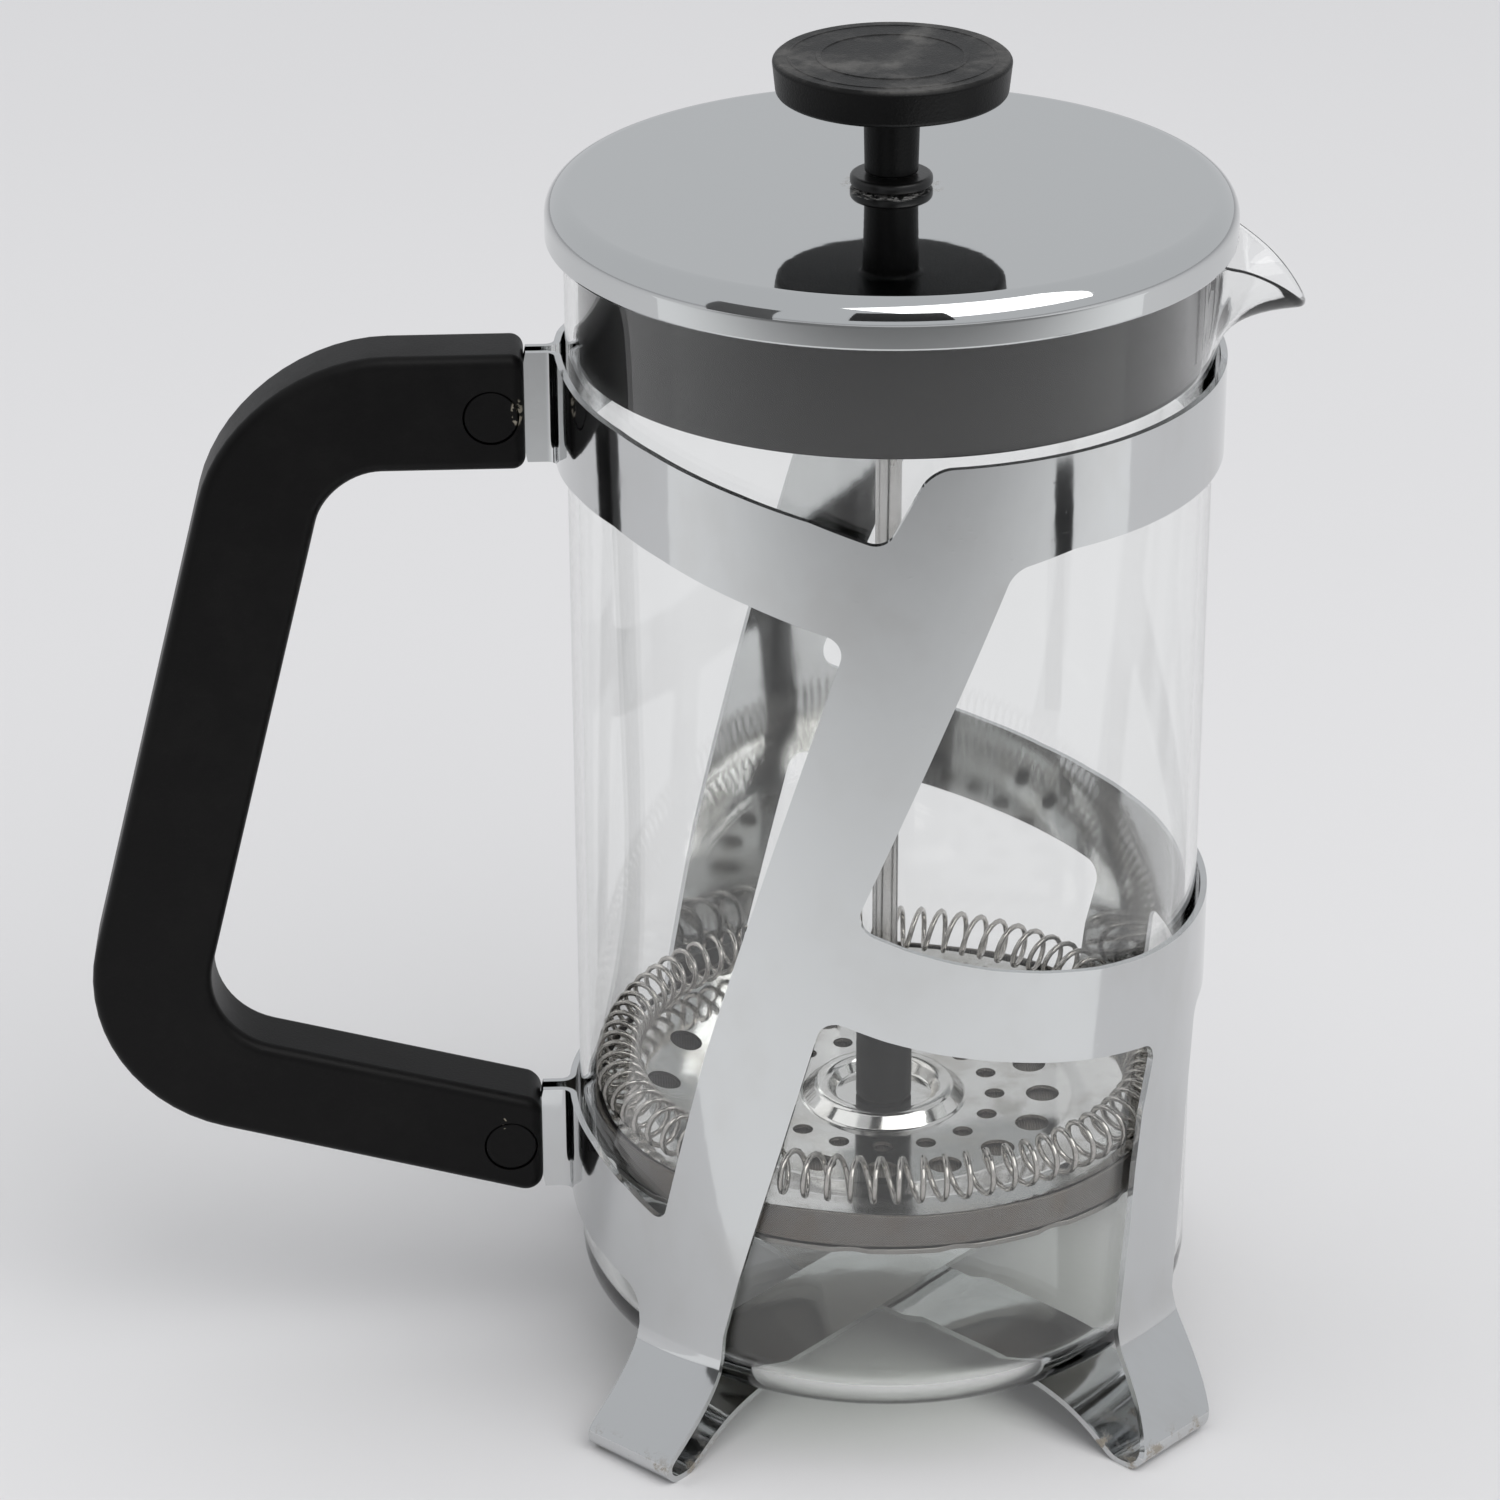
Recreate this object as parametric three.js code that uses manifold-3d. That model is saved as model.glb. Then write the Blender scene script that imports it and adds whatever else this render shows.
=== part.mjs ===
// French press: strap-steel stand with a C handle, glass beaker, chrome lid and plunger.
// Millimetres, +Z up, handle toward -X, spout toward +X. The stand is mirror-symmetric about
// the XZ plane except where its two foot straps cross. Heights are measured from the table.
import * as THREE from 'three';
import { mergeVertices } from 'three/addons/utils/BufferGeometryUtils.js';
import Module from 'manifold-3d';

const wasm = await Module();
wasm.setup();

// ---- driving dimensions ------------------------------------------------------------------
const AXIS_X = 31.15;           // beaker axis, measured from the middle of the overall length
const GAP = 0.3;                // clearance between parts that touch

const STRAP_T = 1.0;            // stand steel thickness
const STAND_R = 50.0;           // stand outer radius
const STAND_TOP = 167.6;        // top edge of the spout-side band
const LEG_END = 18.0;           // height at which the legs turn out into the feet
const STRAP_W = 16.4;           // leg and foot strap width
const TAB_Y = 1.9;              // outer face of each handle tab, from the mid plane
const TAB_END = -66.0;          // how far the tabs run into the handle
const TAB_UP = [151.0, 168.5];  // upper tab, bottom and top
const TAB_LOW = [27.6, 45.0];   // lower tab, bottom and top
const TONGUE_UP = [153.4, 167.0];  // narrower part of each tab, inside the handle
const TONGUE_LOW = [32.6, 42.0];

const HANDLE_T = 12.0;          // handle thickness
const HANDLE_R = 1.8;           // rounding of the handle edges
const HANDLE_END = -54.5;       // handle ends, beside the stand
const SLOT_Y = 2.25;            // half width of the slots that take the tabs
const PIN_X = -59.5;            // handle screws
const PIN_Z = [159.8, 36.4];
const PIN_R = 1.5;
const PLUG_R = 4.0;

const GLASS_R = 48.3;           // beaker outer radius
const GLASS_T = 1.6;
const GLASS_BASE = 9.3;
const GLASS_RIM = 186.6;
const SPOUT_REACH = 13.3;       // how far the spout tip stands out from the wall
const SPOUT_FROM = 167.4;       // height at which the wall starts to lean into the spout
const SPOUT_TIP = 173.3;        // height of the spout tip

const LID_R = 51.0;
const LID_TOP = 192.8;
const LID_LOW = 185.8;          // lower edge of the lid skirt
const RING_R = 46.2;            // strainer ring that sits inside the glass
const RING_LOW = 168.1;

const KNOB_R = 17.5;
const KNOB_TOP = 212.4;
const STEM_LOW = 195.0;         // foot of the knob stem, standing on the bush collar
const ROD_R = 2.0;
const BORE_R = 2.3;             // every bore the rod passes through

const SPRING_R = 42.2;          // centre line of the coil ring
const COIL_R = 3.3;
const WIRE_R = 0.45;
const SPRING_Z = 49.6;
const COILS = 32;

// ---- materials ---------------------------------------------------------------------------
const finish = (color, roughness, metalness) =>
  new THREE.MeshStandardMaterial({ color, roughness, metalness });
const CHROME = () => finish(0xd4d6d8, 0.08, 1.0);
const STEEL = () => finish(0xb6b7b8, 0.28, 1.0);
const MESH_STEEL = () => finish(0x8f8c88, 0.45, 1.0);
const BLACK = () => finish(0x1b1b1c, 0.42, 0.0);
const DARK = () => finish(0x2c2b2b, 0.5, 0.0);
const GLASS = () => {
  const m = finish(0xeef4ef, 0.03, 0.0);
  m.transparent = true;
  m.opacity = 0.3;
  return m;
};

// ---- solid helpers -----------------------------------------------------------------------
const rad = (deg) => (deg * Math.PI) / 180;

function weld(geometry) {
  const g = geometry.index ? geometry.toNonIndexed() : geometry.clone();
  g.deleteAttribute('normal');
  g.deleteAttribute('uv');
  return mergeVertices(g, 1e-4);
}

function solid(geometry) {
  const g = weld(geometry);
  return new wasm.Manifold(new wasm.Mesh({
    numProp: 3,
    vertProperties: new Float32Array(g.attributes.position.array),
    triVerts: new Uint32Array(g.index.array),
  }));
}

function toGeometry(body) {
  const m = body.getMesh();
  const g = new THREE.BufferGeometry();
  g.setAttribute('position', new THREE.BufferAttribute(new Float32Array(m.vertProperties), 3));
  g.setIndex(new THREE.BufferAttribute(new Uint32Array(m.triVerts), 1));
  const flat = g.toNonIndexed();
  flat.computeVertexNormals();
  return flat;
}

const cutAll = (body, tools) => tools.reduce((b, t) => b.subtract(solid(t)), body);

// Turned part about +Z from [radius, height] pairs given counter-clockwise.
function turned(points, segments = 64) {
  const profile = points.map(([r, z]) => new THREE.Vector2(r, z));
  return new THREE.LatheGeometry(profile, segments).rotateX(Math.PI / 2);
}

// A closed ring profile is turned with its first point repeated at the end.
const ring = (points, segments) => turned([...points, points[0]], segments);

const tube = (rIn, rOut, z0, z1, segments = 28) =>
  ring([[rIn, z0], [rOut, z0], [rOut, z1], [rIn, z1]], segments);

function box(x0, x1, y0, y1, z0, z1) {
  const g = new THREE.BoxGeometry(x1 - x0, y1 - y0, z1 - z0);
  return g.translate((x0 + x1) / 2, (y0 + y1) / 2, (z0 + z1) / 2);
}

// Hexagonal nut about +Z with a round bore.
function hexNut(rIn, rOut, z0, z1) {
  const hex = new THREE.CylinderGeometry(rOut, rOut, z1 - z0, 6).rotateX(Math.PI / 2);
  const bore = new THREE.CylinderGeometry(rIn, rIn, z1 - z0 + 4, 20).rotateX(Math.PI / 2);
  const mid = (z0 + z1) / 2;
  return toGeometry(solid(hex.translate(0, 0, mid)).subtract(solid(bore.translate(0, 0, mid))));
}

// Cylinder along Y.
function pin(x, z, r, y0, y1, segments = 20) {
  const g = new THREE.CylinderGeometry(r, r, y1 - y0, segments);
  return g.translate(x, (y0 + y1) / 2, z);
}

// Closed outline with rounded corners from [x, y, corner radius] points.
function rounded(points, arcSteps = 6) {
  const out = [];
  const n = points.length;
  points.forEach(([x, y, r], i) => {
    if (!r) {
      out.push(new THREE.Vector2(x, y));
      return;
    }
    const here = new THREE.Vector2(x, y);
    const a = new THREE.Vector2(...points[(i + n - 1) % n].slice(0, 2)).sub(here).normalize();
    const b = new THREE.Vector2(...points[(i + 1) % n].slice(0, 2)).sub(here).normalize();
    const half = Math.acos(THREE.MathUtils.clamp(a.dot(b), -1, 1)) / 2;
    const back = r / Math.tan(half);
    const centre = a.clone().add(b).normalize().multiplyScalar(r / Math.sin(half)).add(here);
    const p = a.clone().multiplyScalar(back).add(here).sub(centre);
    const q = b.clone().multiplyScalar(back).add(here).sub(centre);
    const from = p.angle();
    let turn = q.angle() - from;
    if (turn > Math.PI) turn -= 2 * Math.PI;
    if (turn < -Math.PI) turn += 2 * Math.PI;
    for (let k = 0; k <= arcSteps; k++) {
      const t = from + (turn * k) / arcSteps;
      out.push(new THREE.Vector2(centre.x + r * Math.cos(t), centre.y + r * Math.sin(t)));
    }
  });
  return out;
}

// Splits long edges so that a wrapped outline follows the cylinder.
function divided(points, step) {
  const out = [];
  points.forEach((p, i) => {
    const q = points[(i + 1) % points.length];
    const parts = Math.max(1, Math.ceil(Math.abs(q.x - p.x) / step));
    for (let k = 0; k < parts; k++) out.push(p.clone().lerp(q, k / parts));
  });
  return out;
}

// ---- stand -------------------------------------------------------------------------------
const ARC = rad(1) * STAND_R;   // length of one degree of the stand

// Radial cutter through the wall from an outline of [degrees, height, corner radius] points.
function windowCutter(points) {
  const flat = points.map(([deg, z, r]) => [deg * ARC, z, r || 0]);
  const shape = new THREE.Shape(divided(rounded(flat, 3), 6));
  const g = new THREE.ExtrudeGeometry(shape, { depth: 3, steps: 3, bevelEnabled: false });
  const p = g.attributes.position;
  for (let i = 0; i < p.count; i++) {
    const t = rad(p.getX(i) / ARC);
    const r = [30, STAND_R - STRAP_T - 0.4, STAND_R + 0.4, 260][Math.round(p.getZ(i))];
    p.setXYZ(i, r * Math.cos(t), r * Math.sin(t), p.getY(i));
  }
  return g;
}

const OVER = 8;                 // windows run past the mid plane and the band edges

// Openings of the front half, in degrees about the beaker and millimetres of height.
const WINDOWS = [
  // above the sloping handle-side band
  [[-188, 169], [-171, 168.2], [-160, 166.9], [-146, 165.9], [-136.7, 164.7], [-127.7, 163.2],
    [-119.7, 161.8], [-107, 159.3], [-94.6, 155.6, 3], [-87.2, STAND_TOP, 5],
    [-80, STAND_TOP], [-80, 180], [-188, 180]],
  // between the handle-side bands
  [[-188, 150.9], [-160, 151.5], [-147, 151.0], [-135, 149.0], [-118, 145.4],
    [-100.8, 141.2, 3], [-126.5, 70.6], [-136.6, 38.2, 2.5], [-145.7, 40.6], [-160, 43.2],
    [-188, 45]],
  // between the spout-side bands
  [[OVER, 153], [-62, 153], [-73.2, 151.3, 4], [-99.6, 95.7, 3.5], [-90.5, 92.2],
    [-83, 89.8], [-75.5, 87.8], [-65.8, 85.7], [-53.8, 83.5], [-42.6, 82.0], [-30, 81.0],
    [-15, 80.5], [OVER, 80.5]],
  // between the two front legs
  [[-104.6, 80.6, 3], [-94, 77.2], [-85, 74.8], [-75, 72.6], [-64.5, 70.4], [-53, 68.3],
    [-38.2, 65.8, 3], [-42, 54.5], [-43.6, 45], [-44.6, 35], [-46.2, 24], [-47.4, 14],
    [-47.4, 0], [-124.2, 0], [-124.2, 14], [-123.3, 22], [-120.2, 32.5], [-111.5, 59]],
  // handle side of the left leg
  [[-188, 27.6], [-167.8, 26.3], [-152, 24.9], [-143.4, 23.6, 4], [-143, 14], [-143, 0],
    [-188, 0]],
  // spout side of the right leg
  [[OVER, 65], [-20.5, 65, 3], [-24.4, 48], [-25.6, 35], [-27.3, 24], [-28.6, 14], [-28.6, 0],
    [OVER, 0]],
];

function tabs() {
  const strip = (x0, x1, [z0, z1]) => solid(box(x0, x1, -TAB_Y, -TAB_Y + STRAP_T, z0, z1));
  const neck = HANDLE_END + GAP;
  const holes = PIN_Z.map((z) => pin(PIN_X, z, PIN_R + GAP, -TAB_Y - 1, 0, 16));
  const parts = [
    strip(neck, -STAND_R + 1.03, TAB_UP),
    strip(TAB_END, neck + 0.1, TONGUE_UP),
    strip(neck, -STAND_R + 1.03, TAB_LOW),
    strip(TAB_END, neck + 0.1, TONGUE_LOW),
  ];
  return cutAll(parts.reduce((a, b) => a.add(b)), holes);
}

// Front half of the stamped stand: bands, slanted strut, two legs and two handle tabs.
function standHalf() {
  const shell = ring([[STAND_R - STRAP_T, LEG_END], [STAND_R, LEG_END],
    [STAND_R, TAB_UP[1]], [STAND_R - STRAP_T, TAB_UP[1]]], 52);
  const half = solid(shell).intersect(solid(box(-70, 70, -70, -GAP / 2, 0, 200)));
  const spoutTop = box(-8, 60, -60, 10, STAND_TOP, 190);
  const slit = box(-60, -40, -TAB_Y + STRAP_T, 5, 0, 200);
  return cutAll(half, [spoutTop, slit, ...WINDOWS.map(windowCutter)]).add(tabs());
}

const mirrored = (body) => body.mirror([0, 1, 0]);

// Foot loop stations: [radius, height] of the strap middle, from the leg down, out and under.
const FOOT = [
  [49.5, LEG_END - GAP], [50.4, 15.0], [52.6, 11.6], [55.3, 8.5], [57.9, 6.0], [59.8, 4.2],
  [60.5, 2.9], [60.2, 1.6], [59.1, 0.7], [57.8, 0.5], [56.6, 0.5], [55.3, 0.8], [52.8, 2.3],
  [49.6, 4.3], [45.6, 6.1], [40.5, 7.4], [34.0, 8.2], [28.0, 8.4],
];
const FOOT_LEAN = [8.3, 8.0, 7.0, 5.3, 3.3, 1.7, 0.8, 0.3, 0, 0, 0, 0, 0, 0, 0, 0, 0, 0];
const OVER_Z = 8.4;
const UNDER_Z = 7.1;

// Strap from a left leg, under the beaker and up to the opposite right leg. `side` is -1 for
// the strap whose left foot is at the front, +1 for the one whose left foot is at the back.
function footStrap(side, crossZ) {
  const left = FOOT.map(([r, z]) => [r, z, side * 134.1]);
  const middle = [[16, OVER_Z, side * 134.1], [12, crossZ, side * 134.1],
    [-12, crossZ, side * 134.1], [-16, OVER_Z, side * 134.1]];
  const right = FOOT.map(([r, z], i) => [-r, z, side * (134.1 + FOOT_LEAN[i])]).reverse();
  const path = [...left, ...middle, ...right].map(([r, z, deg]) => ({
    at: new THREE.Vector3(r * Math.cos(rad(deg)), r * Math.sin(rad(deg)), z),
    wide: new THREE.Vector3(-Math.sin(rad(deg)), Math.cos(rad(deg)), 0),
  }));
  const shape = new THREE.Shape([[-0.5, -0.5], [0.5, -0.5], [0.5, 0.5], [-0.5, 0.5]]
    .map(([x, y]) => new THREE.Vector2(x, y)));
  const steps = path.length - 1;
  const g = new THREE.ExtrudeGeometry(shape, { depth: steps, steps, bevelEnabled: false });
  const p = g.attributes.position;
  const v = new THREE.Vector3();
  for (let i = 0; i < p.count; i++) {
    const k = Math.round(p.getZ(i));
    const before = path[Math.max(0, k - 1)].at;
    const after = path[Math.min(steps, k + 1)].at;
    const along = after.clone().sub(before).normalize();
    const { at, wide } = path[k];
    const face = along.clone().cross(wide).normalize();
    v.copy(at).addScaledVector(wide, p.getX(i) * STRAP_W).addScaledVector(face, p.getY(i) * STRAP_T);
    p.setXYZ(i, v.x, v.y, v.z);
  }
  return toGeometry(solid(facingOut(g)));
}

// Reverses the triangles of a warped solid whose volume came out negative.
function facingOut(geometry) {
  const g = weld(geometry);
  const p = g.attributes.position;
  const idx = g.index.array;
  const a = new THREE.Vector3();
  const b = new THREE.Vector3();
  const c = new THREE.Vector3();
  let volume = 0;
  for (let i = 0; i < idx.length; i += 3) {
    a.fromBufferAttribute(p, idx[i]);
    b.fromBufferAttribute(p, idx[i + 1]);
    c.fromBufferAttribute(p, idx[i + 2]);
    volume += a.dot(b.cross(c));
  }
  if (volume < 0) {
    for (let i = 0; i < idx.length; i += 3) [idx[i], idx[i + 1]] = [idx[i + 1], idx[i]];
  }
  return g;
}

// ---- handle and its fixings --------------------------------------------------------------
function handle() {
  const inset = HANDLE_R;
  const outline = rounded([
    [HANDLE_END, 169.3, 2], [-97.8, 169.3, 30], [-129.6, 47.5, 26], [HANDLE_END, 27.1, 3],
    [HANDLE_END, 44.0, 3], [-108.0, 58.1, 12], [-84.1, 151.2, 10.5], [HANDLE_END, 151.2, 2],
  ], 6);
  const g = new THREE.ExtrudeGeometry(new THREE.Shape(outline), {
    depth: HANDLE_T - 2 * inset,
    steps: 1,
    bevelEnabled: true,
    bevelThickness: inset,
    bevelSize: inset,
    bevelOffset: -inset,
    bevelSegments: 2,
  });
  g.rotateX(Math.PI / 2).translate(0, (HANDLE_T - 2 * inset) / 2, 0);
  const slots = [TONGUE_UP, TONGUE_LOW].map(([z0, z1]) =>
    box(TAB_END - GAP, -40, -SLOT_Y, SLOT_Y, z0 - GAP, z1 + GAP));
  const bores = PIN_Z.flatMap((z) => [
    pin(PIN_X, z, PIN_R + GAP, -8, 8, 16),
    pin(PIN_X, z, PLUG_R + GAP, -8, -3.3, 24),
    pin(PIN_X, z, PLUG_R + GAP, 3.3, 8, 24),
  ]);
  return toGeometry(cutAll(solid(g), [...slots, ...bores]));
}

// Pan-head screw through the handle, head toward -Y.
function screw(z) {
  const shaft = solid(pin(PIN_X, z, PIN_R, -4.1, 4.5, 16));
  return toGeometry(shaft.add(solid(pin(PIN_X, z, 3.0, -4.5, -3.6, 20))));
}

function nut(z) {
  const body = solid(pin(PIN_X, z, 3.15, 3.6, 4.5, 6));
  return toGeometry(cutAll(body, [pin(PIN_X, z, PIN_R + GAP, 3, 5, 16)]));
}

function plug(z, side) {
  const g = new THREE.CylinderGeometry(PLUG_R, PLUG_R, 1.1, 28);
  return g.translate(PIN_X, side * 5.35, z);
}

// ---- beaker ------------------------------------------------------------------------------
// How strongly the wall at an angle from the spout centre line is drawn into the spout.
function spoutShare(deg) {
  const t = Math.abs(deg);
  if (t > 27) return 0;
  const knots = [[0, 1], [3.5, 0.985], [7.6, 0.9], [9.6, 0.73], [14, 0.38], [20, 0.13], [27, 0]];
  for (let i = 1; i < knots.length; i++) {
    const [t0, g0] = knots[i - 1];
    const [t1, g1] = knots[i];
    if (t <= t1) return g0 + ((g1 - g0) * (t - t0)) / (t1 - t0);
  }
  return 0;
}

function drawSpout(geometry) {
  const p = geometry.attributes.position;
  for (let i = 0; i < p.count; i++) {
    const turn = Math.atan2(p.getY(i), p.getX(i));
    const angle = turn - 0.6 * Math.sin(turn);      // closer facets at the spout
    let r = Math.hypot(p.getX(i), p.getY(i));
    let z = p.getZ(i);
    if (z > SPOUT_FROM && r > 40) {
      const g = spoutShare((angle * 180) / Math.PI);
      const t = (z - SPOUT_FROM) / (GLASS_RIM - SPOUT_FROM);
      const tipZ = SPOUT_FROM + (SPOUT_TIP - SPOUT_FROM) * (1 - (1 - t) ** 2);
      const wall = GLASS_R - r;
      r += SPOUT_REACH * g * t ** 1.9 + wall * g * t;
      z += (tipZ - z) * (0.8 * g + 0.2 * g ** 6) + wall * g * t;
    }
    p.setXYZ(i, r * Math.cos(angle), r * Math.sin(angle), z);
  }
  return geometry;
}

function beaker() {
  const outer = GLASS_R;
  const inner = GLASS_R - GLASS_T;
  const b = GLASS_BASE;
  const climb = [170.5, 173.5, 176.5, 180, 183.5];
  const profile = [
    [0, b + 1.2], [22, b + 0.8], [34, b], [42, b], [45.4, b + 1.3], [47.6, b + 4.2],
    [outer, b + 8.5], [outer, SPOUT_FROM],
    ...climb.map((z) => [outer, z]),
    [outer, GLASS_RIM - 0.5], [outer - 0.5, GLASS_RIM], [inner + 0.5, GLASS_RIM],
    [inner, GLASS_RIM - 0.5],
    ...climb.slice().reverse().map((z) => [inner, z]),
    [inner, SPOUT_FROM], [inner, b + 8.6], [45.6, b + 4.6], [43, b + 2.8], [38, b + 2.3],
    [22, b + 3.0], [0, b + 3.4],
  ];
  return toGeometry(solid(drawSpout(turned(profile, 50))));
}

// ---- lid ---------------------------------------------------------------------------------
function lidCover() {
  const t = LID_TOP;
  const profile = [
    [4.6, t - 0.8], [47.4, t - 0.8], [49.4, t - 1.9], [50.2, t - 3.8], [50.2, LID_LOW],
    [LID_R, LID_LOW], [LID_R, t - 3.7], [50.0, t - 1.3], [47.6, t],
    [4.6, t],
  ];
  return ring(profile, 52);
}

const SLIT_COUNT = 9;
const SLIT_PITCH = 6.0;         // degrees

function lidStrainer() {
  const top = LID_TOP - 0.8 - GAP;
  const seat = GLASS_RIM + GAP;
  const body = solid(ring([
    [4.6, top - 1.4], [RING_R - 1, top - 1.4], [RING_R - 1, RING_LOW], [RING_R, RING_LOW],
    [RING_R, seat], [49.0, seat], [49.0, top - 1.2], [47.0, top], [4.6, top],
  ], 48));
  const slits = Array.from({ length: SLIT_COUNT }, (_, i) => {
    const g = box(RING_R - 3, RING_R + 2, -0.6, 0.6, RING_LOW + 3, RING_LOW + 15);
    return g.rotateZ(rad((i - (SLIT_COUNT - 1) / 2) * SLIT_PITCH));
  });
  return toGeometry(cutAll(body, slits));
}

const BUSH_LOW = 184.6;
const COLLAR_TOP = STEM_LOW - GAP;

const lidBush = () => ring([
  [BORE_R, BUSH_LOW], [4.2, BUSH_LOW], [4.2, LID_TOP + GAP], [6.0, LID_TOP + GAP],
  [6.0, COLLAR_TOP - 0.3], [5.7, COLLAR_TOP], [BORE_R, COLLAR_TOP],
], 32);

const bushNut = () => hexNut(4.5, 7.6, 187.2, 190.0);

// ---- plunger -----------------------------------------------------------------------------
const knob = () => turned([
  [0, 204.2], [BORE_R, 204.2], [BORE_R, STEM_LOW], [3.95, STEM_LOW], [4.15, 205.4],
  [5.6, 206.5], [15.9, 206.7], [16.9, 207.5], [KNOB_R, 211.5],
  [17.3, 212.0], [16.8, KNOB_TOP - 0.1], [11.2, KNOB_TOP - 0.1], [11.0, KNOB_TOP],
  [10.4, KNOB_TOP], [10.2, KNOB_TOP - 0.1], [0, KNOB_TOP - 0.1],
], 36);

const rod = () => turned([[0, 35.4], [ROD_R, 35.4], [ROD_R, 203.6], [0, 203.6]], 24);

const rodSleeve = () => tube(BORE_R, 4.4, 41.8, 60.0, 32);

function holeRing(count, at, r, shift = 0) {
  return Array.from({ length: count }, (_, i) => {
    const t = ((i + shift) * 2 * Math.PI) / count;
    const g = new THREE.CylinderGeometry(r, r, 12, 8).rotateX(Math.PI / 2);
    return g.translate(at * Math.cos(t), at * Math.sin(t), 43);
  });
}

// Perforated top plate: centre cup, raised ring round the cup, rising floor, spring seat.
function springPlate() {
  const body = solid(ring([
    [BORE_R, 40.8], [8.2, 40.8], [9.2, 43.0], [10.6, 43.0], [12.6, 41.0], [30.0, 41.3],
    [38.5, 43.6], [44.6, 44.2], [44.6, 44.8], [38.3, 44.2], [29.8, 41.9], [12.9, 41.6],
    [10.9, 43.7], [8.9, 43.7], [7.6, 41.5], [BORE_R, 41.5],
  ], 36));
  const holes = [
    ...holeRing(16, 25.3, 2.65, 0.8), ...holeRing(16, 17.7, 1.6, 0.8),
    ...holeRing(16, 35.0, 2.65, 0.8).slice(6, 8),
  ];
  return toGeometry(cutAll(body, holes));
}

// Closed coil ring: the wire winds round a circle about the rod.
function coilSpring() {
  const turns = COILS;
  class Coil extends THREE.Curve {
    getPoint(t, target = new THREE.Vector3()) {
      const a = 2 * Math.PI * t;
      const r = SPRING_R + COIL_R * Math.cos(turns * a);
      return target.set(r * Math.cos(a), r * Math.sin(a), SPRING_Z + COIL_R * Math.sin(turns * a));
    }
  }
  const wire = new THREE.TubeGeometry(new Coil(), turns * 6, WIRE_R, 4, true);
  return toGeometry(solid(facingOut(wire)));
}

const filterMesh = () => ring([
  [BORE_R, 39.9], [45.6, 39.9], [46.0, 40.3], [46.0, 45.7], [45.4, 45.7], [45.4, 40.5],
  [BORE_R, 40.5],
], 48);

// Bottom plate: scalloped rim, hub and four spokes.
function crossPlate() {
  const count = 36;
  const rim = Array.from({ length: count * 2 }, (_, i) => {
    const t = (i * Math.PI) / count;
    const r = i % 2 ? 45.2 : 45.9;
    return new THREE.Vector2(r * Math.cos(t), r * Math.sin(t));
  });
  const shape = new THREE.Shape(rim);
  shape.holes.push(new THREE.Path().absarc(0, 0, BORE_R, 0, 2 * Math.PI, true));
  for (let k = 0; k < 4; k++) {
    const mid = rad(45 + 90 * k);
    const pts = [[15, -0.42], [40, -0.6], [40, -0.3], [40, 0], [40, 0.3], [40, 0.6], [15, 0.42]]
      .map(([r, t]) => new THREE.Vector2(r * Math.cos(mid + t), r * Math.sin(mid + t)));
    shape.holes.push(new THREE.Path(pts));
  }
  const g = new THREE.ExtrudeGeometry(shape, { depth: 0.9, bevelEnabled: false, curveSegments: 10 });
  return toGeometry(solid(g.translate(0, 0, 38.7)));
}

const hubNut = () => hexNut(BORE_R, 6.2, 35.4, 38.4);

// ---- assembly ----------------------------------------------------------------------------
const group = new THREE.Group();
group.name = 'french_press';

function add(name, geometry, material) {
  const mesh = new THREE.Mesh(geometry, material);
  mesh.name = name;
  group.add(mesh);
}

const front = standHalf();
add('stand_front', toGeometry(front), CHROME());
add('stand_back', toGeometry(mirrored(front)), CHROME());
add('foot_strap_over', footStrap(-1, OVER_Z), CHROME());
add('foot_strap_under', footStrap(1, UNDER_Z), CHROME());
add('handle', handle(), BLACK());
add('handle_screw_upper', screw(PIN_Z[0]), STEEL());
add('handle_screw_lower', screw(PIN_Z[1]), STEEL());
add('handle_nut_upper', nut(PIN_Z[0]), STEEL());
add('handle_nut_lower', nut(PIN_Z[1]), STEEL());
add('plug_upper_front', plug(PIN_Z[0], -1), BLACK());
add('plug_upper_back', plug(PIN_Z[0], 1), BLACK());
add('plug_lower_front', plug(PIN_Z[1], -1), BLACK());
add('plug_lower_back', plug(PIN_Z[1], 1), BLACK());
add('beaker', beaker(), GLASS());
add('lid_cover', lidCover(), CHROME());
add('lid_strainer', lidStrainer(), DARK());
add('lid_bush', lidBush(), BLACK());
add('bush_nut', bushNut(), BLACK());
add('knob', knob(), BLACK());
add('plunger_rod', rod(), STEEL());
add('rod_sleeve', rodSleeve(), BLACK());
add('spring_plate', springPlate(), CHROME());
add('coil_spring', coilSpring(), STEEL());
add('filter_mesh', filterMesh(), MESH_STEEL());
add('cross_plate', crossPlate(), STEEL());
add('hub_nut', hubNut(), STEEL());

group.position.x = AXIS_X;
group.updateMatrixWorld(true);

export default group;
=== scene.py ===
"""A french press: strap-steel stand, C handle, glass beaker, chrome lid and plunger.

Shapes are worked in millimetres from the beaker's axis and the table, and are put into the
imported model's frame, in metres, as each piece is finished. The handle points to -X and the
spout to +X.
"""

import logging
import math
import sys
from dataclasses import dataclass
from enum import Enum
from typing import Callable, Iterable, Sequence

import bmesh
import bpy
from mathutils import Matrix, Vector

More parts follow.
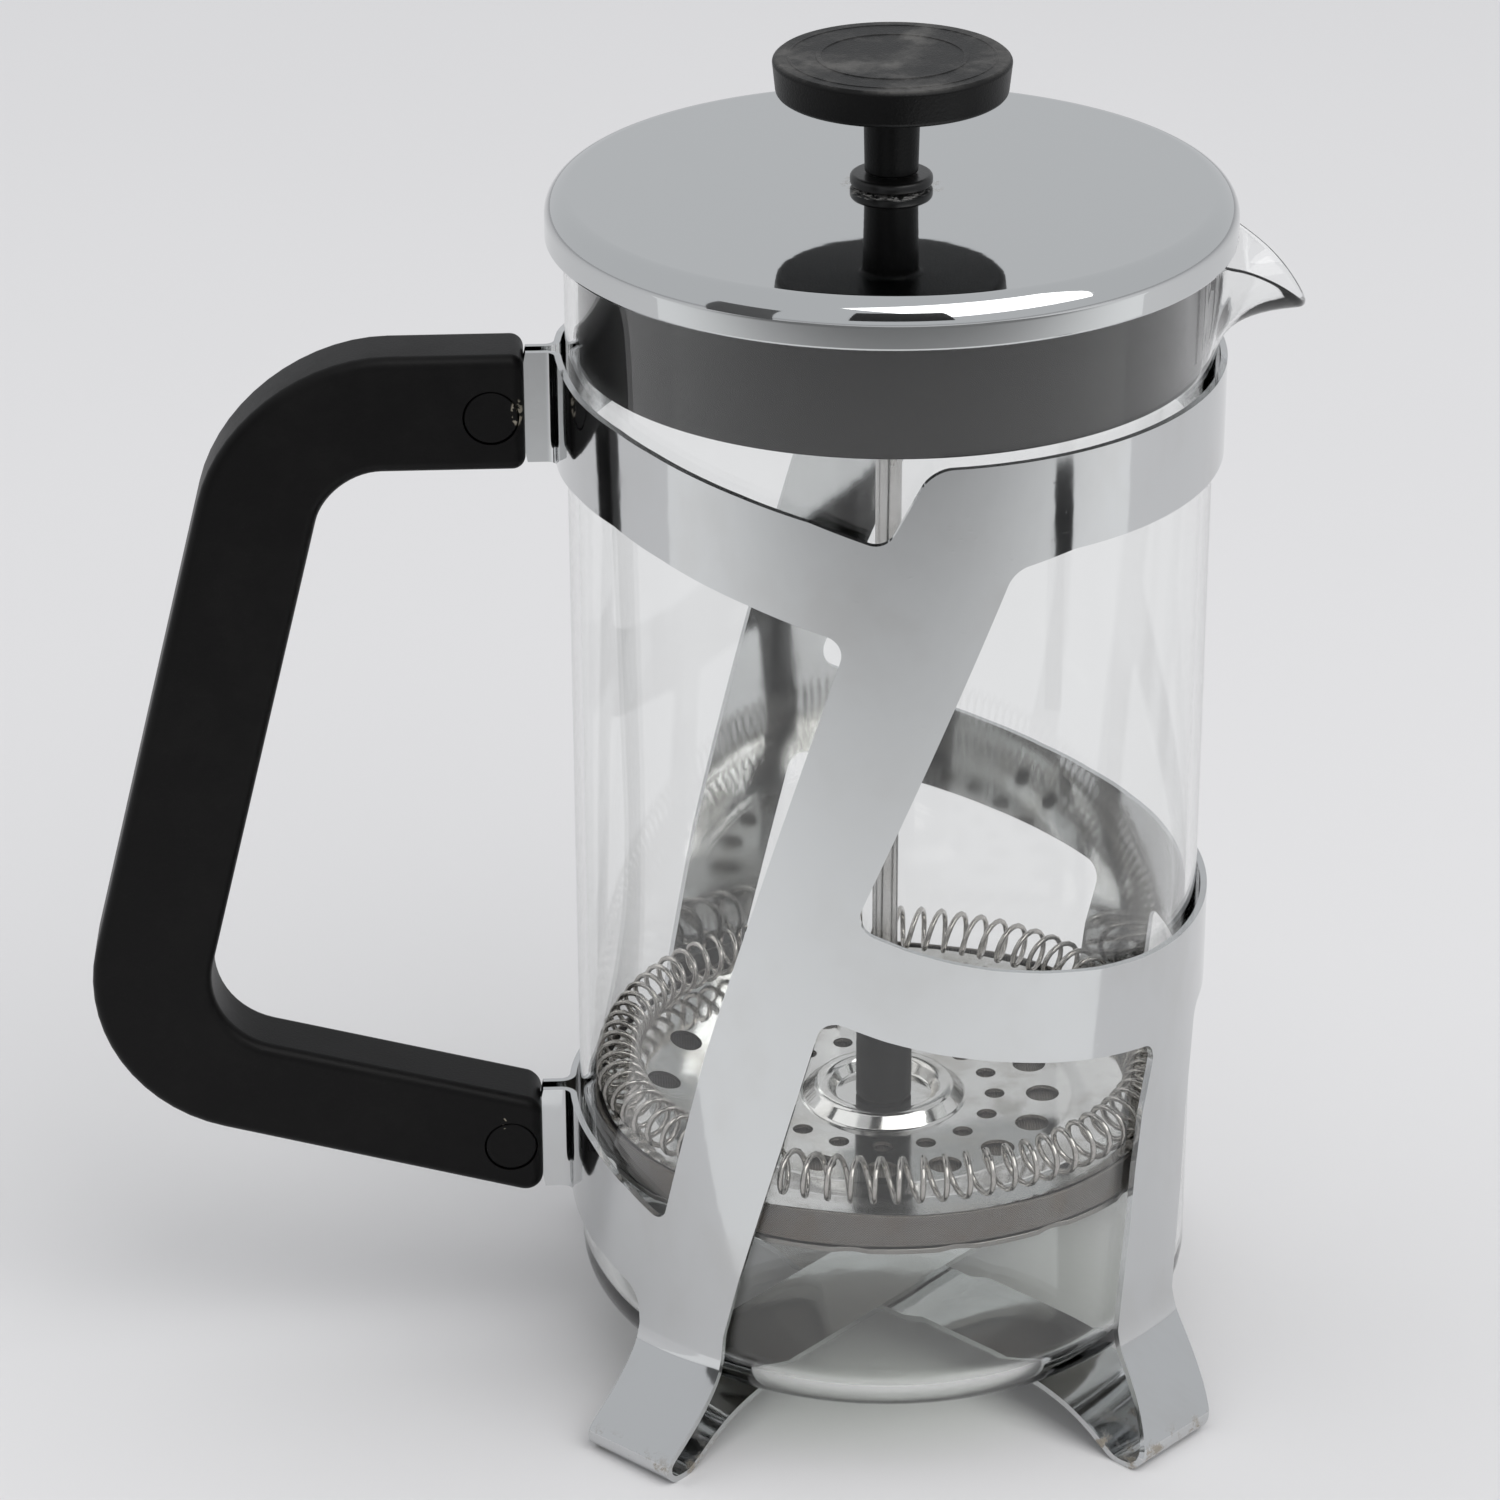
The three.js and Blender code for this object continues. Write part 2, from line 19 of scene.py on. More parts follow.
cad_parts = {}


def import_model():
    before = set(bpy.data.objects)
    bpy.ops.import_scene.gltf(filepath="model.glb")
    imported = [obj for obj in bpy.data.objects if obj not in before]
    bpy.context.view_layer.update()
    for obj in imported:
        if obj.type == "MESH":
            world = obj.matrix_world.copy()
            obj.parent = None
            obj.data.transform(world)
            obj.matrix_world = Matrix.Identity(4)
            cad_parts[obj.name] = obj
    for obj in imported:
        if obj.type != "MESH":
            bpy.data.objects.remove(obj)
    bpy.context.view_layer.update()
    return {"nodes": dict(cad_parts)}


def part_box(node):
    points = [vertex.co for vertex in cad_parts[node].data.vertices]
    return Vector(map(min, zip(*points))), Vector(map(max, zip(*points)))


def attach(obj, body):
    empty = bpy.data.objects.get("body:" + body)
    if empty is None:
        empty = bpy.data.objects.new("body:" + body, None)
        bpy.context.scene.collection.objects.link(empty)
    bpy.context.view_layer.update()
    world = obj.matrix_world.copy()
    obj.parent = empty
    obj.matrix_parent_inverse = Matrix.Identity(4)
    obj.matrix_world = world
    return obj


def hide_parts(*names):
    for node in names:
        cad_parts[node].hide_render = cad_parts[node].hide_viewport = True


LOG = logging.getLogger("french_press")

MM = 0.001
TURN = 2 * math.pi
BORE = 2.3  # radius of the bores that the rod runs through, in millimetres
Colour = tuple[float, float, float]
Corner = tuple[float, ...]  # across, up, and the radius of the corner where it is rounded


class Body(Enum):
    """The bodies that move apart from each other."""

    STAND = "stand"
    BEAKER = "beaker"
    BUSH = "lid_bush"
    LID = "lid"
    PLUNGER = "plunger"
    FILTER = "filter"
    KNOB = "knob"


class Slot(Enum):
    """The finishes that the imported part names."""

    STAND = "stand_chrome"
    LID = "lid_chrome"
    STEEL = "steel"
    WIRE_CLOTH = "mesh_steel"
    BLACK = "black_plastic"
    DARK = "dark_plastic"
    GLASS = "glass"


class Axis(Enum):
    """The direction that a flat outline is pulled along to make a solid."""

    Y = "y"
    Z = "z"


# ---- shader graph ---------------------------------------------------------------------------


class Reading:
    """A number that changes over a surface: one value socket, with arithmetic."""

    def __init__(self, graph: "Graph", socket: bpy.types.NodeSocket) -> None:
        """Wraps a socket of a graph.

        Args:
            graph: The graph that new Math nodes go into.
            socket: The output socket that gives the number.
        """
        self.graph = graph
        self.socket = socket

    def maths(self, operation: str, *others: "Reading | float", flip: bool = False) -> "Reading":
        """Adds one Math node.

        Args:
            operation: The Math node's operation.
            others: The other operands.
            flip: Whether this reading comes second.

        Returns:
            The node's result.
        """
        terms = [self, *others]
        if flip:
            terms.reverse()
        node = self.graph.node(
            "ShaderNodeMath", {"operation": operation}, dict(enumerate(terms))
        )
        return Reading(self.graph, node.outputs[0])

    def __add__(self, other: "Reading | float") -> "Reading":
        """This plus other."""
        return self.maths("ADD", other)

    __radd__ = __add__

    def __mul__(self, other: "Reading | float") -> "Reading":
        """This times other."""
        return self.maths("MULTIPLY", other)

    __rmul__ = __mul__

    def __sub__(self, other: "Reading | float") -> "Reading":
        """This less other."""
        return self.maths("SUBTRACT", other)

    def __rsub__(self, other: "Reading | float") -> "Reading":
        """Other less this."""
        return self.maths("SUBTRACT", other, flip=True)

    def __truediv__(self, other: "Reading | float") -> "Reading":
        """This over other."""
        return self.maths("DIVIDE", other)

    def __rtruediv__(self, other: "Reading | float") -> "Reading":
        """Other over this."""
        return self.maths("DIVIDE", other, flip=True)

    def __pow__(self, other: "Reading | float") -> "Reading":
        """This to the power of other."""
        return self.maths("POWER", other)

    def rise(self, low: float, high: float) -> "Reading":
        """A smooth step from 0 at low to 1 at high, either way round.

        Args:
            low: Where the step starts.
            high: Where the step ends.

        Returns:
            The step, from 0 to 1.
        """
        node = self.graph.node(
            "ShaderNodeMapRange",
            {"interpolation_type": "SMOOTHSTEP"},
            {"Value": self, "From Min": low, "From Max": high},
        )
        return Reading(self.graph, node.outputs["Result"])


class Graph:
    """The node tree of one new material."""

    def __init__(self, name: str) -> None:
        """Starts an empty material.

        Args:
            name: The material's name.
        """
        self.material = bpy.data.materials.new(name)
        self.material.use_nodes = True
        self.tree = self.material.node_tree
        self.tree.nodes.clear()

    def node(
        self,
        kind: str,
        settings: dict[str, object] | None = None,
        values: dict[str | int, object] | None = None,
    ) -> bpy.types.Node:
        """Adds any node.

        Args:
            kind: The node's type.
            settings: Properties that are set first.
            values: A number, colour, Reading or socket for each input.

        Returns:
            The new node.
        """
        node = self.tree.nodes.new(kind)
        for key, value in (settings or {}).items():
            setattr(node, key, value)
        for key, value in (values or {}).items():
            if isinstance(value, Reading):
                value = value.socket
            if isinstance(value, bpy.types.NodeSocket):
                self.tree.links.new(value, node.inputs[key])
            else:
                node.inputs[key].default_value = value
        return node

    def place(self, turn: Sequence[float] = (0, 0, 0), stretch: Sequence[float] = (1, 1, 1),
              about: Sequence[float] = (0, 0, 0)) -> bpy.types.NodeSocket:
        """The point on the object, moved, turned and stretched.

        Args:
            turn: Angles about X, Y and Z.
            stretch: Scale along X, Y and Z.
            about: The point that becomes the origin.

        Returns:
            The vector socket.
        """
        source = self.node("ShaderNodeTexCoord").outputs["Object"]
        moved = self.node("ShaderNodeVectorMath", {"operation": "SUBTRACT"},
                          {0: source, 1: tuple(about)})
        mapping = self.node("ShaderNodeMapping", {"vector_type": "POINT"},
                            {0: moved.outputs[0], "Rotation": tuple(turn),
                             "Scale": tuple(stretch)})
        return mapping.outputs[0]

    def parts(self, vector: bpy.types.NodeSocket) -> tuple[Reading, Reading, Reading]:
        """The X, Y and Z of a vector."""
        node = self.node("ShaderNodeSeparateXYZ", None, {0: vector})
        return tuple(Reading(self, out) for out in node.outputs)

    def noise(self, vector: bpy.types.NodeSocket, scale: float, detail: float = 2.0,
              rough: float = 0.5) -> Reading:
        """Cloudy noise from 0 to 1.

        Args:
            vector: Where it is read.
            scale: Clouds per metre.
            detail: Octaves.
            rough: Strength of the finer octaves.

        Returns:
            The noise value.
        """
        node = self.node("ShaderNodeTexNoise", None,
                         {"Vector": vector, "Scale": scale, "Detail": detail,
                          "Roughness": rough})
        return Reading(self, node.outputs[0])

    def blend(self, share: Reading, first: Colour, second: Colour) -> bpy.types.NodeSocket:
        """A colour between two.

        Args:
            share: 0 for the first, 1 for the second.
            first: A colour, or the socket of one.
            second: A colour, or the socket of one.

        Returns:
            The colour socket.
        """
        ends = {}
        for key, colour in ((6, first), (7, second)):
            ends[key] = colour if isinstance(colour, bpy.types.NodeSocket) else (*colour, 1)
        node = self.node("ShaderNodeMix", {"data_type": "RGBA"}, {0: share, **ends})
        return node.outputs[2]

    def bump(self, height: Reading, depth: float, strength: float = 1.0) -> bpy.types.NodeSocket:
        """A normal from a height.

        Args:
            height: The height, from 0 to 1.
            depth: How deep 1 is, in metres.
            strength: How much of it shows.

        Returns:
            The normal socket.
        """
        node = self.node("ShaderNodeBump", None,
                         {"Height": height, "Distance": depth, "Strength": strength})
        return node.outputs[0]

    def principled(self, values: dict[str, object]) -> bpy.types.Node:
        """Adds the main shader and joins it to the surface.

        Args:
            values: A value for each input that is set.

        Returns:
            The shader node.
        """
        shader = self.node("ShaderNodeBsdfPrincipled", None, values)
        self.surface(shader.outputs[0])
        return shader

    def surface(self, shader: bpy.types.NodeSocket) -> None:
        """Joins a shader to the material's surface."""
        self.node("ShaderNodeOutputMaterial", None, {"Surface": shader})


# ---- finishes -------------------------------------------------------------------------------


@dataclass(frozen=True)
class Chrome:
    """Polished plate with wiping marks and a slight waviness."""

    name: str
    tint: Colour = (0.60, 0.61, 0.615)
    clean: float = 0.06
    hazy: float = 0.12
    wave: float = 0.00002
    dull: Colour = (0.575, 0.58, 0.58)
    caked: Colour = (0.22, 0.17, 0.10)
    caked_to: float = 0.0052

    def material(self) -> bpy.types.Material:
        """Builds the material.

        Returns:
            The material.
        """
        g = Graph(self.name)
        spot = g.place()
        wiped = g.noise(g.place((0.3, 0.5, 0.2), (60, 160, 60)), 1.0, 4.0, 0.6)
        cloudy = g.noise(spot, 45.0, 3.0, 0.55)
        haze = (wiped * cloudy).rise(0.2, 0.42)
        specks = g.noise(spot, 900.0, 2.0, 0.5).rise(0.66, 0.8)
        rolled = g.noise(g.place(stretch=(1, 1, 0.35)), 260.0, 2.0)
        _, _, z = g.parts(spot)
        caked = (1 - z.rise(self.caked_to - 0.0025, self.caked_to)) * g.noise(
            spot, 260.0, 4.0, 0.65).rise(0.5, 0.64)
        g.principled({
            "Base Color": g.blend(caked * 0.7, g.blend(haze, self.tint, self.dull), self.caked),
            "Metallic": 1 - caked * 0.4,
            "Roughness": haze * (self.hazy - self.clean) + specks * 0.08 + caked * 0.25
            + self.clean,
            "Normal": g.bump(rolled + specks * 0.1, self.wave),
        })
        return g.material


@dataclass(frozen=True)
class LidChrome:
    """Mirror plate with a ring of dried marks round the plunger's collar."""

    name: str
    centre: tuple[float, float]
    ring: float = 0.0068
    tint: Colour = (0.60, 0.612, 0.615)
    residue: Colour = (0.62, 0.60, 0.57)

    def material(self) -> bpy.types.Material:
        """Builds the material.

        Returns:
            The material.
        """
        g = Graph(self.name)
        spot = g.place(about=(*self.centre, 0))
        x, y, _ = g.parts(spot)
        radius = (x * x + y * y) ** 0.5
        ragged = radius + (g.noise(spot, 190.0, 4.0, 0.6) - 0.5) * 0.006
        dried = (1 - ragged.rise(self.ring, self.ring + 0.0008)) * g.noise(
            spot, 900.0, 4.0, 0.7).rise(0.44, 0.58)
        wiped = g.noise(g.place((0, 0, 0.6), (30, 150, 60)), 1.0, 4.0, 0.6).rise(0.5, 0.8)
        haze = wiped * 0.6 + dried
        grain = g.noise(spot, 150.0, 2.0)
        g.principled({
            "Base Color": g.blend(dried * 0.75, self.tint, self.residue),
            "Metallic": 1 - dried * 0.5,
            "Roughness": haze * 0.09 + 0.035,
            "Normal": g.bump(grain, 0.000012),
        })
        return g.material


@dataclass(frozen=True)
class BrushedSteel:
    """Bright steel with fine lines along one direction."""

    name: str
    stretch: tuple[float, float, float] = (1.0, 1.0, 0.02)
    tint: Colour = (0.50, 0.495, 0.485)
    rough: float = 0.2
    lines: float = 3500.0

    def material(self) -> bpy.types.Material:
        """Builds the material.

        Returns:
            The material.
        """
        g = Graph(self.name)
        drawn = g.noise(g.place(stretch=self.stretch), self.lines, 2.0)
        stain = g.noise(g.place(), 130.0, 3.0).rise(0.45, 0.75)
        g.principled({
            "Base Color": g.blend(stain * 0.5, self.tint, (0.36, 0.345, 0.32)),
            "Metallic": 1.0,
            "Roughness": drawn * 0.16 + stain * 0.08 + (self.rough - 0.08),
            "Normal": g.bump(drawn, 0.000015),
        })
        return g.material


@dataclass(frozen=True)
class PunchedPlate:
    """Bright stainless sheet, cloudy from coffee and washing."""

    name: str
    tint: Colour = (0.68, 0.675, 0.66)

    def material(self) -> bpy.types.Material:
        """Builds the material.

        Returns:
            The material.
        """
        g = Graph(self.name)
        spot = g.place()
        cloud = g.noise(spot, 110.0, 4.0, 0.6).rise(0.4, 0.7)
        swirl = g.noise(g.place((0, 0, 0.9), (40, 400, 40)), 1.0, 3.0)
        dent = g.noise(spot, 75.0, 2.0)
        g.principled({
            "Base Color": g.blend(cloud * 0.6, self.tint, (0.45, 0.43, 0.39)),
            "Metallic": 1.0,
            "Roughness": cloud * 0.12 + swirl * 0.06 + 0.05,
            "Normal": g.bump(dent + swirl * 0.05, 0.00005),
        })
        return g.material


@dataclass(frozen=True)
class WireCloth:
    """Fine woven wire, square on the flat and slanted on the turned-up rim."""

    name: str
    centre: tuple[float, float]
    rim: float
    pitch: float = 0.00042
    wire: Colour = (0.24, 0.225, 0.21)
    gap: Colour = (0.06, 0.055, 0.05)

    def material(self) -> bpy.types.Material:
        """Builds the material.

        Returns:
            The material.
        """
        g = Graph(self.name)
        x, y, z = g.parts(g.place(about=(*self.centre, 0)))
        radius = (x * x + y * y) ** 0.5
        on_rim = radius.rise(self.rim - 0.0003, self.rim)
        turned = y.maths("ARCTAN2", x) * self.rim
        pull = TURN / self.pitch
        first = self.wave(x, turned + z, on_rim, pull)
        second = self.wave(y, turned - z, on_rim, pull)
        weave = first.maths("MAXIMUM", second)
        stain = g.noise(g.place(), 160.0, 3.0).rise(0.4, 0.75)
        bare = g.blend(weave, self.gap, self.wire)
        g.principled({
            "Base Color": g.blend(stain * 0.45, bare, (0.17, 0.125, 0.09)),
            "Metallic": weave * 0.5 + 0.4,
            "Roughness": 0.62 - weave * 0.2,
            "Normal": g.bump(weave, 0.00012, 0.7),
        })
        return g.material

    @staticmethod
    def wave(flat: Reading, round_it: Reading, on_rim: Reading, pull: float) -> Reading:
        """One set of wires.

        Args:
            flat: The place across the wires, on the flat.
            round_it: The place across the wires, on the rim.
            on_rim: 0 on the flat, 1 on the rim.
            pull: Radians per metre.

        Returns:
            The height of the wires.
        """
        across = flat * (1 - on_rim) + round_it * on_rim
        return (across * pull).maths("SINE") * 0.5 + 0.5


@dataclass(frozen=True)
class Plastic:
    """Moulded plastic with a fine grain, dust and a few pale scuffs."""

    name: str
    tint: Colour = (0.0045, 0.0042, 0.0043)
    dusty: Colour = (0.012, 0.0115, 0.011)
    scuffed: Colour = (0.34, 0.31, 0.25)
    rough: float = 0.36
    dust: float = 0.4
    grain: float = 0.00004
    gloss: float = 0.32
    settled: float | None = None
    scuffs: tuple[tuple[float, float, float, float], ...] = ()

    def material(self) -> bpy.types.Material:
        """Builds the material.

        Returns:
            The material.
        """
        g = Graph(self.name)
        spot = g.place()
        fine = g.noise(spot, 2600.0, 2.0, 0.6)
        cloud = g.noise(spot, 90.0, 5.0, 0.65)
        lint = g.noise(spot, 1500.0, 2.0).rise(0.68, 0.76) * cloud.rise(0.4, 0.6)
        dusty = cloud.rise(0.42, 0.72) * self.dust + lint * 0.25
        if self.settled is not None:
            _, _, z = g.parts(spot)
            dusty = dusty * z.rise(self.settled - 0.0004, self.settled)
        colour = g.blend(dusty, self.tint, self.dusty)
        rough = fine * 0.08 + dusty * 0.14 + self.rough
        for x, y, z, size in self.scuffs:
            a, b, c = g.parts(g.place(about=(x, y, z)))
            away = (a * a * 5.0 + b * b + c * c) ** 0.5
            chip = (1 - away.rise(size * 0.75, size)) * g.noise(spot, 800.0, 3.0).rise(0.5, 0.56)
            colour = g.blend(chip * 0.8, colour, self.scuffed)
            rough = rough + chip * 0.2
        g.principled({
            "Base Color": colour,
            "Roughness": rough,
            "Specular IOR Level": self.gloss,
            "Normal": g.bump(fine, self.grain, 0.6),
        })
        return g.material


@dataclass(frozen=True)
class BeakerGlass:
    """Clear blown glass that turns green where it is thick."""

    name: str
    foot: float
    rim: float
    clear: Colour = (0.99, 0.994, 0.99)
    thick: Colour = (0.90, 0.945, 0.88)

    def material(self) -> bpy.types.Material:
        """Builds the material.

        Returns:
            The material.
        """
        g = Graph(self.name)
        _, _, z = g.parts(g.place())
        low = 1 - z.rise(self.foot, self.foot + 0.009)
        high = z.rise(self.rim - 0.0015, self.rim - 0.0002)
        smear = g.noise(g.place(stretch=(1, 1, 0.3)), 60.0, 4.0, 0.6).rise(0.55, 0.8)
        colour = g.blend(low * 0.3 + high, self.clear, self.thick)
        glass = g.node("ShaderNodeBsdfPrincipled", None, {
            "Base Color": colour,
            "Roughness": smear * 0.03,
            "IOR": 1.47,
            "Transmission Weight": 1.0,
        })
        lit = g.node("ShaderNodeBsdfTransparent", None, {0: (0.95, 0.965, 0.95, 1)})
        lamp = g.node("ShaderNodeLightPath").outputs["Is Shadow Ray"]
        both = g.node("ShaderNodeMixShader", None,
                      {0: lamp, 1: glass.outputs[0], 2: lit.outputs[0]})
        g.surface(both.outputs[0])
        return g.material


@dataclass(frozen=True)
class Backdrop:
    """Matt pale paper, even or with painted light and shade: another grey away from the camera's
    subject.
    """

    name: str
    tint: Colour = (0.675, 0.67, 0.675)
    painted_shade: Colour | None = None
    fade_from: float = -0.08
    fade_to: float = -0.64

    def material(self) -> bpy.types.Material:
        """Builds the material.

        Returns:
            The material.
        """
        g = Graph(self.name)
        spot = g.place()
        cloud = g.noise(spot, 3.0, 3.0)
        colour = g.blend(cloud, self.tint, tuple(c * 0.965 for c in self.tint))
        # Painted light and shade: the tint from fade_from towards the subject, turning to the
        # other grey by fade_to.
        if self.painted_shade is not None:
            _, y, _ = g.parts(spot)
            colour = g.blend(1 - y.rise(self.fade_to, self.fade_from), self.tint, self.painted_shade)
        g.principled({"Base Color": colour, "Roughness": 0.9})
        return g.material


# ---- shapes ---------------------------------------------------------------------------------


class Shape:
    """A mesh in the making, in millimetres from the beaker's axis and the table."""

    def __init__(self, mesh: bmesh.types.BMesh | None = None) -> None:
        """Starts from a mesh, or from nothing."""
        self.mesh = mesh or bmesh.new()

    @classmethod
    def line(cls, corners: Iterable[Corner], closed: bool = False, segments: int = 6) -> "Shape":
        """A chain of edges in the XZ plane, rounded at the corners that have a radius.

        Args:
            corners: Across, up and radius of each corner.
            closed: Whether the last corner joins the first.
            segments: Steps in each rounded corner.

        Returns:
            The chain.
        """
        shape = cls()
        bm = shape.mesh
        corners = [(*c, 0)[:3] for c in corners]
        verts = [bm.verts.new((x, 0, z)) for x, z, _ in corners]
        ring = verts + verts[:1] if closed else verts
        for a, b in zip(ring, ring[1:]):
            bm.edges.new((a, b))
        cuts = []
        for i, (_, _, radius) in enumerate(corners):
            if radius:
                here = verts[i].co
                back = (verts[i - 1].co - here).normalized()
                ahead = (verts[(i + 1) % len(verts)].co - here).normalized()
                cuts.append((verts[i], radius / math.tan(back.angle(ahead) / 2)))
        for vert, offset in cuts:
            bmesh.ops.bevel(bm, geom=[vert], offset=offset, offset_type="OFFSET",
                            segments=segments, profile=0.5, affect="VERTICES", material=-1)
        return shape

    @classmethod
    def turned(cls, corners: Iterable[Corner], steps: int = 96, closed: bool = True,
               segments: int = 4) -> "Shape":
        """A turned part about the beaker's axis.

        Args:
            corners: Radius, height and rounding of each corner of the profile.
            steps: Sides of the full turn.
            closed: False for a profile that starts and ends on the axis.
            segments: Steps in each rounded corner.

        Returns:
            The solid, facing outwards.
        """
        shape = cls.line(corners, closed, segments)
        bm = shape.mesh
        bmesh.ops.spin(bm, geom=bm.verts[:] + bm.edges[:], cent=(0, 0, 0), axis=(0, 0, 1),
                       angle=TURN, steps=steps, use_merge=True)
        return shape.welded()

    @classmethod
    def pulled(cls, corners: Iterable[Corner], axis: Axis, low: float, high: float,
               segments: int = 6) -> "Shape":
        """A flat outline pulled into a solid.

        Args:
            corners: Across, up and radius of each corner. Up is Z, or Y when pulled along Z.
            axis: The direction of the pull.
            low: Where the solid starts.
            high: Where it ends.
            segments: Steps in each rounded corner.

        Returns:
            The solid, facing outwards.
        """
        shape = cls.line(corners, True, segments)
        bm = shape.mesh
        faces = bmesh.ops.contextual_create(bm, geom=bm.edges[:])["faces"]
        new = bmesh.ops.extrude_face_region(bm, geom=faces, use_keep_orig=True)["geom"]
        moved = [v for v in new if isinstance(v, bmesh.types.BMVert)]
        bmesh.ops.translate(bm, verts=moved, vec=(0, high - low, 0))
        if axis is Axis.Z:
            swap = Matrix(((1, 0, 0, 0), (0, 0, 1, 0), (0, 1, 0, 0), (0, 0, 0, 1)))
            bmesh.ops.transform(bm, matrix=swap, verts=bm.verts)
            bmesh.ops.translate(bm, verts=bm.verts, vec=(0, 0, low))
        else:
            bmesh.ops.translate(bm, verts=bm.verts, vec=(0, low, 0))
        return shape.welded()

    @classmethod
    def block(cls, x: Sequence[float], y: Sequence[float], z: Sequence[float]) -> "Shape":
        """A box between two values on each axis.

        Args:
            x: Its ends along X.
            y: Its ends along Y.
            z: Its ends along Z.

        Returns:
            The box.
        """
        shape = cls()
        spans = [b - a for a, b in (x, y, z)]
        middle = [(a + b) / 2 for a, b in (x, y, z)]
        bmesh.ops.create_cube(shape.mesh, size=1.0)
        bmesh.ops.scale(shape.mesh, vec=spans, verts=shape.mesh.verts)
        bmesh.ops.translate(shape.mesh, vec=middle, verts=shape.mesh.verts)
        return shape

    @classmethod
    def peg(cls, at: Sequence[float], radius: float, length: float, along: Axis,
            sides: int = 32) -> "Shape":
        """A round peg.

        Args:
            at: Its middle.
            radius: Its radius.
            length: Its length.
            along: The direction that it points.
            sides: Sides of the circle.

        Returns:
            The peg.
        """
        shape = cls()
        turn = Matrix.Rotation(math.pi / 2, 4, "X") if along is Axis.Y else Matrix.Identity(4)
        bmesh.ops.create_cone(shape.mesh, cap_ends=True, segments=sides, radius1=radius,
                              radius2=radius, depth=length, matrix=Matrix.Translation(at) @ turn)
        return shape

    def welded(self) -> "Shape":
        """Merges doubled points and turns the faces outwards.

        Returns:
            This shape.
        """
        bmesh.ops.remove_doubles(self.mesh, verts=self.mesh.verts, dist=1e-4)
        bmesh.ops.recalc_face_normals(self.mesh, faces=self.mesh.faces)
        return self

    def turned_by(self, degrees: float, about: str = "Z") -> "Shape":
        """Turns the shape about an axis through the origin.

        Args:
            degrees: The angle.
            about: The axis.

        Returns:
            This shape.
        """
        spin = Matrix.Rotation(math.radians(degrees), 4, about)
        bmesh.ops.transform(self.mesh, matrix=spin, verts=self.mesh.verts)
        return self

    def moved(self, x: float = 0, y: float = 0, z: float = 0) -> "Shape":
        """Moves the shape."""
        bmesh.ops.translate(self.mesh, vec=(x, y, z), verts=self.mesh.verts)
        return self

    def bent(self, rule: Callable[[Vector], Vector]) -> "Shape":
        """Moves every point by a rule.

        Args:
            rule: Gives each point its new place.

        Returns:
            This shape.
        """
        for vert in self.mesh.verts:
            vert.co = rule(vert.co)
        return self

    def joined(self, *others: "Shape") -> "Shape":
        """Adds other shapes to this one.

        Args:
            others: The other shapes.

        Returns:
            This shape.
        """
        for other in others:
            spare = bpy.data.meshes.new("spare")
            other.mesh.to_mesh(spare)
            self.mesh.from_mesh(spare)
            bpy.data.meshes.remove(spare)
        return self

    def round_edges(self, width: float, segments: int,
                    chosen: Callable[[bmesh.types.BMEdge], bool]) -> "Shape":
        """Rounds the chosen edges.

        Args:
            width: Radius of the rounding.
            segments: Steps in it.
            chosen: Says which edges are rounded.

        Returns:
            This shape.
        """
        edges = [e for e in self.mesh.edges if chosen(e)]
        bmesh.ops.bevel(self.mesh, geom=edges, offset=width, offset_type="OFFSET",
                        segments=segments, profile=0.5, affect="EDGES", material=-1)
        return self

    def cut(self, *tools: "Shape") -> "Shape":
        """Takes other solids out of this one.

        Args:
            tools: The solids, which don't overlap each other.

        Returns:
            This shape.
        """
        cutter = Shape().joined(*tools).loose("cutter")
        blank = self.loose("blank")
        work = blank.modifiers.new("cut", "BOOLEAN")
        work.operation, work.solver, work.object = "DIFFERENCE", "EXACT", cutter
        bpy.context.view_layer.update()
        ready = blank.evaluated_get(bpy.context.evaluated_depsgraph_get())
        result = bmesh.new()
        result.from_mesh(ready.to_mesh())
        for spare in (blank, cutter):
            mesh = spare.data
            bpy.data.objects.remove(spare)
            bpy.data.meshes.remove(mesh)
        self.mesh = result
        return self

    def loose(self, name: str) -> bpy.types.Object:
        """An object of this shape, still in millimetres.

        Args:
            name: Its name.

        Returns:
            The object.
        """
        mesh = bpy.data.meshes.new(name)
        self.mesh.to_mesh(mesh)
        obj = bpy.data.objects.new(name, mesh)
        bpy.context.scene.collection.objects.link(obj)
        return obj


@dataclass(frozen=True)
class Edge:
    """How the edges of a finished piece are broken."""

    width: float = 0.2
    segments: int = 2
    angle: float = 35.0


